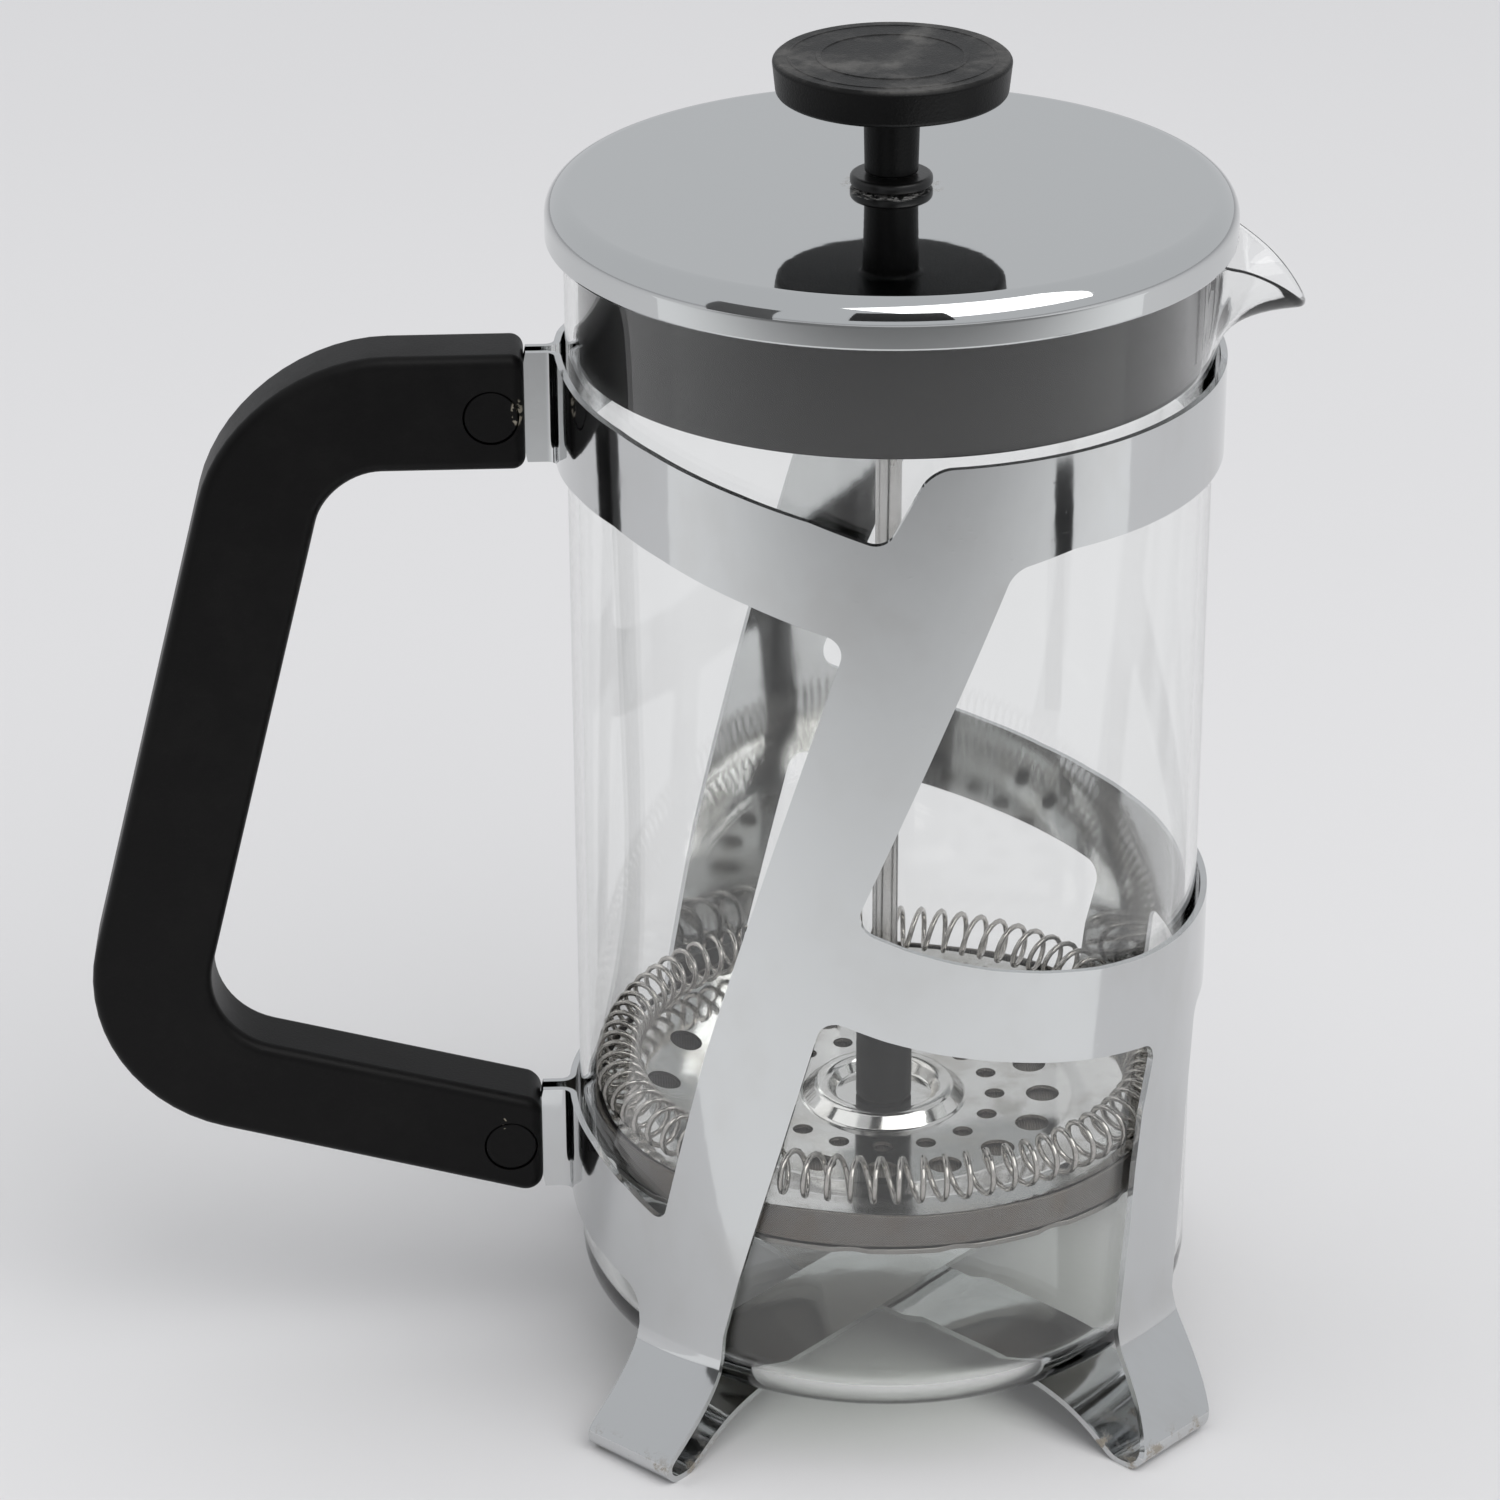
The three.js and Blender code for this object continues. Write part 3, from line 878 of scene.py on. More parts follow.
@dataclass(frozen=True)
class Assembly:
    """What every sub-assembly shares: where the beaker's axis stands in the frame."""

    axis_x: float

    def place(self, shape: Shape, name: str, body: Body, material: bpy.types.Material,
              slot: Slot, replaces: Sequence[str] = (), edge: Edge | None = None,
              sheet: float = 0.0, smooth: float = 35.0) -> bpy.types.Object:
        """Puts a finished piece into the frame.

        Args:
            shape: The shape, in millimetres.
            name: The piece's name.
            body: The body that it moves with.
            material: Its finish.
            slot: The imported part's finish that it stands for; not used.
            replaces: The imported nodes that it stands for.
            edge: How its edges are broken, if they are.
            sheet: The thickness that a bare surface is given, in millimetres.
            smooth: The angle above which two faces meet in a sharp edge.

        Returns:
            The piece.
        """
        to_frame = Matrix.Scale(MM, 4) @ Matrix.Translation((self.axis_x, 0, 0))
        bmesh.ops.transform(shape.mesh, matrix=to_frame, verts=shape.mesh.verts)
        piece = shape.loose(name)
        piece.data.materials.append(material)
        piece.data.shade_smooth()
        piece.data.set_sharp_from_angle(angle=math.radians(smooth))
        if sheet:
            wall = piece.modifiers.new("wall", "SOLIDIFY")
            wall.thickness, wall.offset, wall.use_even_offset = sheet * MM, 0.0, True
        if edge:
            soft = piece.modifiers.new("soft edge", "BEVEL")
            soft.width, soft.segments = edge.width * MM, edge.segments
            soft.limit_method, soft.angle_limit = "ANGLE", math.radians(edge.angle)
            soft.harden_normals = True
        if not sheet:
            piece.modifiers.new("even shading", "WEIGHTED_NORMAL").keep_sharp = True
        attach(piece, body.value)
        if replaces:
            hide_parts(*replaces)
        LOG.info("%s on %s: %d points", name, body.value, len(piece.data.vertices))
        return piece


def eased(points: Sequence[Sequence[float]], parts: int) -> list[list[float]]:
    """A smooth line through points.

    Args:
        points: The points, of any number of values each.
        parts: Steps between two points.

    Returns:
        The points of the line, with the given ones among them.
    """
    out = []
    last = len(points) - 1
    for i in range(last):
        before, a, b, after = (points[max(i - 1, 0)], points[i], points[i + 1],
                               points[min(i + 2, last)])
        for k in range(parts):
            t = k / parts
            out.append([
                0.5 * (2 * q + (r - p) * t + (2 * p - 5 * q + 4 * r - s) * t * t
                       + (3 * q - p - 3 * r + s) * t ** 3)
                for p, q, r, s in zip(before, a, b, after)
            ])
    return [*out, list(points[-1])]


# ---- stand ----------------------------------------------------------------------------------


@dataclass(frozen=True)
class Stand(Assembly):
    """The stamped sheet: bands, slanted struts, legs, foot loops and handle tabs."""

    radius: float = 49.5  # middle of the sheet
    thick: float = 1.0
    top: float = 168.5
    band_top: float = 167.6
    leg_end: float = 18.0
    column: float = 1.25  # degrees between upright lines of points
    rows: int = 26
    tab_from: float = -176.2  # degrees at which the sheet bends out to the handle
    tab_bend: float = 2.0
    bend_steps: int = 8
    neck: float = -54.2
    shoulder: float = 0.4
    tongue_share: float = 0.77
    tongue_end: float = -65.8
    left_foot: float = 134.1
    over_z: float = 8.4
    under_z: float = 7.1

    @property
    def arc(self) -> float:
        """Length of one degree of the rolled sheet's outside."""
        return math.radians(1) * (self.radius + self.thick / 2)

    def windows(self) -> list[list[Corner]]:
        """Outlines of the openings of the front half: degrees, height and corner radius.

        Returns:
            One outline for each opening.
        """
        top = self.band_top
        return [
            [(-188, 169), (-171, 168.2), (-160, 166.9), (-146, 165.9), (-136.7, 164.7),
             (-127.7, 163.2), (-119.7, 161.8), (-107, 159.3), (-94.6, 155.6, 3),
             (-87.2, top, 5), (8, top), (8, 180), (-188, 180)],
            [(-188, 150.9), (-160, 151.5), (-147, 151.0), (-135, 149.0), (-118, 145.4),
             (-100.8, 141.2, 3), (-126.5, 70.6), (-136.6, 38.2, 2.5), (-145.7, 40.6),
             (-160, 43.2), (-188, 45)],
            [(8, 153), (-62, 153), (-73.2, 151.3, 4), (-99.6, 95.7, 3.5), (-90.5, 92.2),
             (-83, 89.8), (-75.5, 87.8), (-65.8, 85.7), (-53.8, 83.5), (-42.6, 82.0),
             (-30, 81.0), (-15, 80.5), (8, 80.5)],
            [(-104.6, 80.6, 3), (-94, 77.2), (-85, 74.8), (-75, 72.6), (-64.5, 70.4),
             (-53, 68.3), (-38.2, 65.8, 3), (-42, 54.5), (-43.6, 45), (-44.6, 35),
             (-46.2, 24), (-47.4, 14), (-47.4, 0), (-124.2, 0), (-124.2, 14), (-123.3, 22),
             (-120.2, 32.5), (-111.5, 59)],
            [(-188, 27.6), (-167.8, 26.3), (-152, 24.9), (-143.4, 23.6, 4), (-143, 14),
             (-143, 0), (-188, 0)],
            [(8, 65), (-20.5, 65, 3), (-24.4, 48), (-25.6, 35), (-27.3, 24), (-28.6, 14),
             (-28.6, 0), (8, 0)],
        ]

    def net(self) -> Shape:
        """The front half of the sheet, cut and still flat: X along it, Z up.

        Returns:
            The flat sheet, one face thick.
        """
        width = -self.tab_from * self.arc
        tall = self.top - self.leg_end
        flat = Shape()
        bmesh.ops.create_grid(flat.mesh, x_segments=round(-self.tab_from / self.column),
                              y_segments=self.rows, size=0.5)
        bmesh.ops.scale(flat.mesh, vec=(width, tall, 1), verts=flat.mesh.verts)
        flat.turned_by(90, "X").moved(-width / 2, 0, self.leg_end + tall / 2)
        bmesh.ops.solidify(flat.mesh, geom=flat.mesh.faces[:], thickness=1.0)
        bmesh.ops.recalc_face_normals(flat.mesh, faces=flat.mesh.faces)
        tools = [
            Shape.pulled([(deg * self.arc, *rest) for deg, *rest in outline], Axis.Y, -4, 4, 8)
            for outline in self.windows()
        ]
        flat.cut(*tools)
        back = [f for f in flat.mesh.faces if f.normal.y > -0.9]
        bmesh.ops.delete(flat.mesh, geom=back, context="FACES")
        return flat

    def roll(self, flat: Vector) -> Vector:
        """Rolls a point of the flat sheet round the beaker."""
        turn = math.radians(flat.x / self.arc)
        return Vector((self.radius * math.cos(turn), self.radius * math.sin(turn), flat.z))

    @staticmethod
    def rim(mesh: bmesh.types.BMesh,
            chosen: Callable[[Vector], bool]) -> list[bmesh.types.BMEdge]:
        """The open edges whose ends are both chosen."""
        return [e for e in mesh.edges if e.is_boundary and all(chosen(v.co) for v in e.verts)]

    @staticmethod
    def pull(mesh: bmesh.types.BMesh, edges: list[bmesh.types.BMEdge],
             move: Callable[[Vector], Vector]) -> list[bmesh.types.BMEdge]:
        """Pulls a strip out of open edges.

        Args:
            mesh: The mesh.
            edges: The open edges.
            move: Gives each new point its place.

        Returns:
            The new open edges.
        """
        new = bmesh.ops.extrude_edge_only(mesh, edges=edges)["geom"]
        for vert in new:
            if isinstance(vert, bmesh.types.BMVert):
                vert.co = move(vert.co)
        return [e for e in new if isinstance(e, bmesh.types.BMEdge)]

    def add_tabs(self, mesh: bmesh.types.BMesh) -> None:
        """Bends the handle-side ends out into the two tabs and their narrow tongues.

        Args:
            mesh: The rolled sheet.
        """
        turn = math.radians(self.tab_from)
        start = Vector((self.radius * math.cos(turn), self.radius * math.sin(turn)))
        ahead = Vector((math.sin(turn), -math.cos(turn)))
        centre = start + Vector((-ahead.y, ahead.x)) * self.tab_bend
        sweep = math.pi - math.atan2(ahead.y, ahead.x)
        edges = self.rim(mesh, lambda c: abs(math.atan2(c.y, c.x) - turn) < 1e-4)
        arm = start - centre
        for _ in range(self.bend_steps):
            arm.rotate(Matrix.Rotation(sweep / self.bend_steps, 2))
            stop = centre + arm
            edges = self.pull(mesh, edges, lambda c, s=stop: Vector((s.x, s.y, c.z)))
        y = stop.y
        for x, held in ((self.neck, 1.0), (self.neck - self.shoulder, self.tongue_share),
                        (self.tongue_end, 1.0)):
            edges = self.pull(mesh, edges, lambda c, s=x, n=held: Vector((
                s, y, self.middle(c.z) + (c.z - self.middle(c.z)) * n)))

    @staticmethod
    def middle(z: float) -> float:
        """The height of the middle of the tab that a height belongs to."""
        return 159.8 if z > 100 else 36.8

    def foot_path(self) -> list[list[float]]:
        """The foot loop's middle line from the leg to under the beaker.

        Returns:
            Radius, height, share of the turn to the foot's own direction, and how much
            of the leg's roll is left.
        """
        line = [
            (49.5, 18.0, 0.0, 1.0), (50.4, 15.0, 0.05, 0.9), (52.6, 11.6, 0.17, 0.62),
            (55.3, 8.5, 0.38, 0.3), (57.9, 6.0, 0.62, 0.1), (59.8, 4.2, 0.82, 0.0),
            (60.5, 2.9, 0.92, 0.0), (60.2, 1.6, 0.97, 0.0), (59.1, 0.7, 1.0, 0.0),
            (57.8, 0.5, 1.0, 0.0), (56.6, 0.5, 1.0, 0.0), (55.3, 0.8, 1.0, 0.0),
            (52.8, 2.3, 1.0, 0.0), (49.6, 4.3, 1.0, 0.0), (45.6, 6.1, 1.0, 0.0),
            (40.5, 7.4, 1.0, 0.0), (34.0, 8.2, 1.0, 0.0), (28.0, 8.4, 1.0, 0.0),
        ]
        return eased(line, 5)

    def add_foot(self, mesh: bmesh.types.BMesh, leg: float, foot: float,
                 cross: float) -> list[bmesh.types.BMEdge]:
        """Pulls one leg out into its foot loop and on to the middle.

        Args:
            mesh: The sheet.
            leg: Direction of the leg, in degrees.
            foot: Direction of the foot, in degrees.
            cross: Height at which the strap crosses under the beaker.

        Returns:
            The open edges near the middle.
        """
        def near(c: Vector) -> bool:
            """Whether a point is on the leg's lower end.

            Args:
                c: The point.

            Returns:
                True on that end.
            """
            away = (math.degrees(math.atan2(c.y, c.x)) - leg + 180) % 360 - 180
            return abs(c.z - self.leg_end) < 1e-3 and abs(away) < 14

        edges = self.rim(mesh, near)
        ends = [v.co for e in edges for v in e.verts]
        turns = [math.degrees(math.atan2(c.y, c.x)) for c in ends]
        leg = (min(turns) + max(turns)) / 2
        path = self.foot_path()[1:]
        path += [[16.0, self.over_z, 1.0, 0.0], [12.0, cross, 1.0, 0.0], [2.0, cross, 1.0, 0.0]]
        across = {}
        for vert in {v for e in edges for v in e.verts}:
            turn = math.degrees(math.atan2(vert.co.y, vert.co.x)) - leg
            across[vert] = math.radians(turn) * self.radius
        for before, here, after in zip([[self.radius, self.leg_end], *path], path,
                                       path[1:] + path[-1:]):
            turn = math.radians(leg + ((foot - leg + 180) % 360 - 180) * here[2])
            out = Vector((math.cos(turn), math.sin(turn), 0))
            wide = Vector((-math.sin(turn), math.cos(turn), 0))
            along = Vector((after[0] - before[0], after[1] - before[1])).normalized()
            face = out * -along.y + Vector((0, 0, along.x))
            new = bmesh.ops.extrude_edge_only(mesh, edges=edges)["geom"]
            fresh = {}
            for vert in (v for v in new if isinstance(v, bmesh.types.BMVert)):
                source = next(e.other_vert(vert) for e in vert.link_edges
                              if e.other_vert(vert) in across)
                u = across[source]
                fresh[vert] = u
                sag = self.radius * (1 - math.cos(u / self.radius)) * here[3]
                rolled = self.radius * math.sin(u / self.radius)
                vert.co = out * here[0] + wide * rolled - face * sag + Vector((0, 0, here[1]))
            across = fresh
            edges = [e for e in new if isinstance(e, bmesh.types.BMEdge)]
        return edges

    def build(self) -> None:
        """Builds and dresses the stand."""
        sheet = self.net().bent(self.roll)
        mesh = sheet.mesh
        self.add_tabs(mesh)
        bmesh.ops.mirror(mesh, geom=mesh.verts[:] + mesh.edges[:] + mesh.faces[:],
                         matrix=Matrix.Identity(4), merge_dist=0.02, axis="Y")
        for side, cross in ((-1, self.over_z), (1, self.under_z)):
            left = self.add_foot(mesh, side * 133.4, side * self.left_foot, cross)
            right = self.add_foot(mesh, -side * 37.5, -side * (180 - self.left_foot), cross)
            bmesh.ops.bridge_loops(mesh, edges=left + right)
        sheet.welded()
        face = max(mesh.faces, key=lambda f: f.calc_center_median().x)
        if face.normal.dot(face.calc_center_median().normalized()) < 0:
            bmesh.ops.reverse_faces(mesh, faces=mesh.faces)
        self.place(sheet, "stand_sheet", Body.STAND, Chrome("stand chrome").material(),
                   Slot.STAND,
                   ("stand_front", "stand_back", "foot_strap_over", "foot_strap_under"),
                   Edge(0.22, 2, 50), self.thick, 60)


# ---- handle ---------------------------------------------------------------------------------


@dataclass(frozen=True)
class Handle(Assembly):
    """The C handle with its plugs; its screws and nuts stay as the imported nodes."""

    thick: float = 12.0
    rounding: float = 1.8
    end: float = -54.5
    pin_x: float = -59.5
    pins: tuple[tuple[str, float], ...] = (("upper", 159.8), ("lower", 36.4))
    plug: float = 4.0
    plug_top: float = 5.92
    gap: float = 0.22

    def outline(self) -> list[Corner]:
        """The handle's side outline.

        Returns:
            The corners, with their radii.
        """
        return [
            (self.end, 169.3, 2), (-97.8, 169.3, 30), (-129.6, 47.5, 26), (self.end, 27.1, 3),
            (self.end, 44.0, 3), (-108.0, 58.1, 12), (-84.1, 151.2, 10.5),
            (self.end, 151.2, 2),
        ]

    def grip(self) -> Shape:
        """The moulded handle, with its slots and plug holes.

        Returns:
            The handle.
        """
        half = self.thick / 2
        grip = Shape.pulled(self.outline(), Axis.Y, -half, half, 14)
        grip.round_edges(self.rounding, 6,
                         lambda e: abs(e.verts[0].co.y - e.verts[1].co.y) < 1e-4)
        slots = [Shape.block((-66.3, -40), (-2.25, 2.25), (low, high))
                 for low, high in ((153.1, 167.3), (32.3, 42.3))]
        holes = []
        for _, z in self.pins:
            for side in (-1, 1):
                holes.append(Shape.peg((self.pin_x, side * 5.65, z), self.plug + self.gap, 4.7,
                                       Axis.Y, 64))
        return grip.cut(*slots).cut(*holes)

    def build(self) -> None:
        """Builds and dresses the handle and its plug caps."""
        moulded = Plastic(
            "handle plastic", tint=(0.0032, 0.003, 0.0031), dusty=(0.008, 0.0077, 0.0074),
            gloss=0.13, scuffs=(((self.axis_x - 55.6) * MM, -6 * MM, 160.6 * MM, 0.0023),
                                      ((self.axis_x - 60.5) * MM, -6 * MM, 40.6 * MM, 0.0011)),
        ).material()
        self.place(self.grip(), "handle_grip", Body.STAND, moulded, Slot.BLACK, ("handle",),
                   None, 0, 32)
        for name, z in self.pins:
            for side, end in ((-1, "front"), (1, "back")):
                plug = Shape.turned([
                    (0, 0), (self.plug, 0, 0.2), (self.plug, 1.2, 0.3), (0, 1.2),
                ], 64, False, 3).turned_by(-90 * side, "X")
                plug.moved(self.pin_x, side * (self.plug_top - 1.2), z)
                self.place(plug.welded(), f"plug_cap_{name}_{end}", Body.STAND, moulded,
                           Slot.BLACK, (f"plug_{name}_{end}",))


# ---- beaker ---------------------------------------------------------------------------------


@dataclass(frozen=True)
class Beaker(Assembly):
    """The glass, with its spout drawn out of the rim."""

    outer: float = 48.3
    wall: float = 1.6
    base: float = 9.3
    rim: float = 186.6
    spout_from: float = 167.4
    spout_tip: float = 173.3
    reach: float = 13.3
    steps: int = 220

    def share(self, degrees: float) -> float:
        """How strongly the wall is drawn into the spout.

        Args:
            degrees: Angle from the spout's centre line.

        Returns:
            1 at the centre line, 0 past the spout.
        """
        knots = [(0, 1.0), (3.5, 0.985), (7.6, 0.9), (9.6, 0.73), (14, 0.38), (20, 0.13),
                 (27, 0.0)]

        def read(at: float) -> float:
            """Reads the unsmoothed share between the knots.

            Args:
                at: Angle from the centre line, in degrees.

            Returns:
                The share.
            """
            at = abs(at)
            for (a, p), (b, q) in zip(knots, knots[1:]):
                if at <= b:
                    return p + (q - p) * (at - a) / (b - a)
            return 0.0

        spread = (-1.8, -1.2, -0.6, 0, 0.6, 1.2, 1.8)
        return sum(read(degrees + d) for d in spread) / len(spread)

    def draw(self, point: Vector) -> Vector:
        """Draws a point of the round glass out into the spout.

        Args:
            point: A point of the round glass.

        Returns:
            The point on the drawn glass.
        """
        turn = math.atan2(point.y, point.x)
        angle = turn - 0.6 * math.sin(turn)
        r = math.hypot(point.x, point.y)
        z = point.z
        if z > self.spout_from and r > 40:
            g = self.share(math.degrees(angle))
            t = (z - self.spout_from) / (self.rim - self.spout_from)
            tip = self.spout_from + (self.spout_tip - self.spout_from) * (1 - (1 - t) ** 2)
            inset = self.outer - r
            r += self.reach * g * t ** 1.9 + inset * g * t
            z += (tip - z) * (0.8 * g + 0.2 * g ** 6) + inset * g * t
        return Vector((r * math.cos(angle), r * math.sin(angle), z))

    def build(self) -> None:
        """Builds and dresses the glass."""
        b = self.base
        inner = self.outer - self.wall
        climb = [self.spout_from + 1.5 * k for k in range(1, 12)]
        profile = [
            (0, b + 1.25), (33, b + 0.15, 6), (self.outer, b, 8.5),
            *[(self.outer, z) for z in (40, 80, 120, self.spout_from, *climb)],
            (self.outer, self.rim, 0.78), (inner, self.rim, 0.78),
            *[(inner, z) for z in (*reversed(climb), self.spout_from, 120, 80, 40)],
            (inner, b + 2.3, 7.2), (33, b + 2.4, 6), (0, b + 3.4),
        ]
        glass = Shape.turned(profile, self.steps, False, 8).bent(self.draw)
        finish = BeakerGlass("beaker glass", b * MM, self.rim * MM)
        self.place(glass, "beaker_glass", Body.BEAKER, finish.material(), Slot.GLASS,
                   ("beaker",), None, 0, 60)


# ---- lid ------------------------------------------------------------------------------------


@dataclass(frozen=True)
class Lid(Assembly):
    """The chrome cover, the strainer ring under it and the bush through both."""

    radius: float = 51.0
    top: float = 192.8
    low: float = 185.8
    sheet: float = 0.8
    hole: float = 4.6
    ring: float = 46.2
    ring_low: float = 168.1
    slits: int = 9
    slit_pitch: float = 6.0

    def cover(self) -> Shape:
        """The spun chrome cover.

        Returns:
            The cover.
        """
        inside = self.radius - self.sheet
        return Shape.turned([
            (self.hole, self.top - self.sheet), (inside, self.top - self.sheet, 3.0),
            (inside, self.low, 0.3), (self.radius, self.low, 0.45),
            (self.radius, self.top, 3.7), (self.hole, self.top, 0.2),
        ], 220, True, 10)

    def strainer(self) -> Shape:
        """The moulded ring that sits in the glass, with its slits toward the spout.

        Returns:
            The ring.
        """
        top = self.top - self.sheet - 0.3
        seat = 186.9
        ring = Shape.turned([
            (self.hole, top - 1.4), (self.ring - 1, top - 1.4, 1.2),
            (self.ring - 1, self.ring_low, 0.3), (self.ring, self.ring_low, 0.35),
            (self.ring, seat, 0.3), (49.0, seat, 0.3), (49.0, top - 1.0, 0.6),
            (47.4, top, 0.8), (self.hole, top),
        ], 180, True, 3)
        first = -(self.slits - 1) / 2 * self.slit_pitch
        tools = [
            Shape.block((self.ring - 3, self.ring + 2), (-0.6, 0.6),
                        (self.ring_low + 3, self.ring_low + 15))
            .turned_by(first + k * self.slit_pitch)
            for k in range(self.slits)
        ]
        return ring.cut(*tools)

    def bush(self) -> Shape:
        """The bush that guides the rod, with its collar above the lid.

        Returns:
            The bush.
        """
        return Shape.turned([
            (BORE, 184.6), (4.2, 184.6, 0.3), (4.2, 193.1), (6.1, 193.1, 0.4),
            (6.1, 194.7, 0.6), (BORE, 194.7, 0.25),
        ], 72, True, 4)

    def build(self) -> None:
        """Builds and dresses the lid."""
        centre = (self.axis_x * MM, 0.0)
        self.place(self.cover(), "lid_plate", Body.LID,
                   LidChrome("lid chrome", centre).material(), Slot.LID, ("lid_cover",),
                   None, 0, 30)
        dark = Plastic("strainer plastic", (0.010, 0.0097, 0.0097), (0.017, 0.0165, 0.016),
                       rough=0.28, dust=0.3, grain=0.0000008, gloss=0.36)
        self.place(self.strainer(), "lid_ring", Body.LID, dark.material(), Slot.DARK,
                   ("lid_strainer",), None, 0, 30)
        black = Plastic("bush plastic", rough=0.26, dust=0.3, gloss=0.45)
        self.place(self.bush(), "rod_bush", Body.BUSH, black.material(), Slot.BLACK,
                   ("lid_bush",), None, 0, 30)


# ---- plunger --------------------------------------------------------------------------------


@dataclass(frozen=True)
class Plunger(Assembly):
    """The knob, the rod and the sleeve above the filter."""

    knob: float = 17.5
    knob_top: float = 212.3
    stem_low: float = 195.0
    rod: float = 2.0

    def knob_shape(self) -> Shape:
        """The knob with its stem, and plain raised rings where the real one is marked.

        Returns:
            The knob and stem.
        """
        t = self.knob_top
        face = t - 0.02
        return Shape.turned([
            (0, 204.2), (BORE, 204.2), (BORE, self.stem_low), (3.95, self.stem_low, 0.3),
            (4.2, 206.4, 0.9), (16.95, 206.75, 0.9), (self.knob, t - 0.5, 0.5),
            (16.9, face, 0.3), (15.4, face), (15.25, t + 0.07), (15.05, t + 0.07),
            (14.9, face), (11.2, face), (11.05, t + 0.1), (10.45, t + 0.1), (10.3, face),
            (0, face),
        ], 128, False, 4)

    def build(self) -> None:
        """Builds and dresses the plunger."""
        dusty = Plastic("knob plastic", (0.0025, 0.0024, 0.0024), (0.095, 0.092, 0.088),
                        rough=0.36, dust=1.0, grain=0.00009, gloss=0.18,
                        settled=self.knob_top * MM)
        self.place(self.knob_shape(), "knob_top", Body.KNOB, dusty.material(), Slot.BLACK,
                   ("knob",), None, 0, 30)
        rod = Shape.turned([(0, 35.4), (self.rod, 35.4, 0.3), (self.rod, 203.6, 0.5),
                            (0, 203.6)], 48, False, 3)
        self.place(rod, "steel_rod", Body.PLUNGER, BrushedSteel("rod steel").material(),
                   Slot.STEEL, ("plunger_rod",), None, 0, 30)
        sleeve = Shape.turned([(BORE, 41.8), (4.4, 41.8, 0.3), (4.4, 60, 0.7), (BORE, 60, 0.3)],
                              64, True, 4)
        self.place(sleeve, "sleeve", Body.PLUNGER,
                   Plastic("sleeve plastic", rough=0.42, dust=0.2, grain=0.000002,
                           gloss=0.1).material(), Slot.BLACK,
                   ("rod_sleeve",), None, 0, 30)


# ---- filter ---------------------------------------------------------------------------------


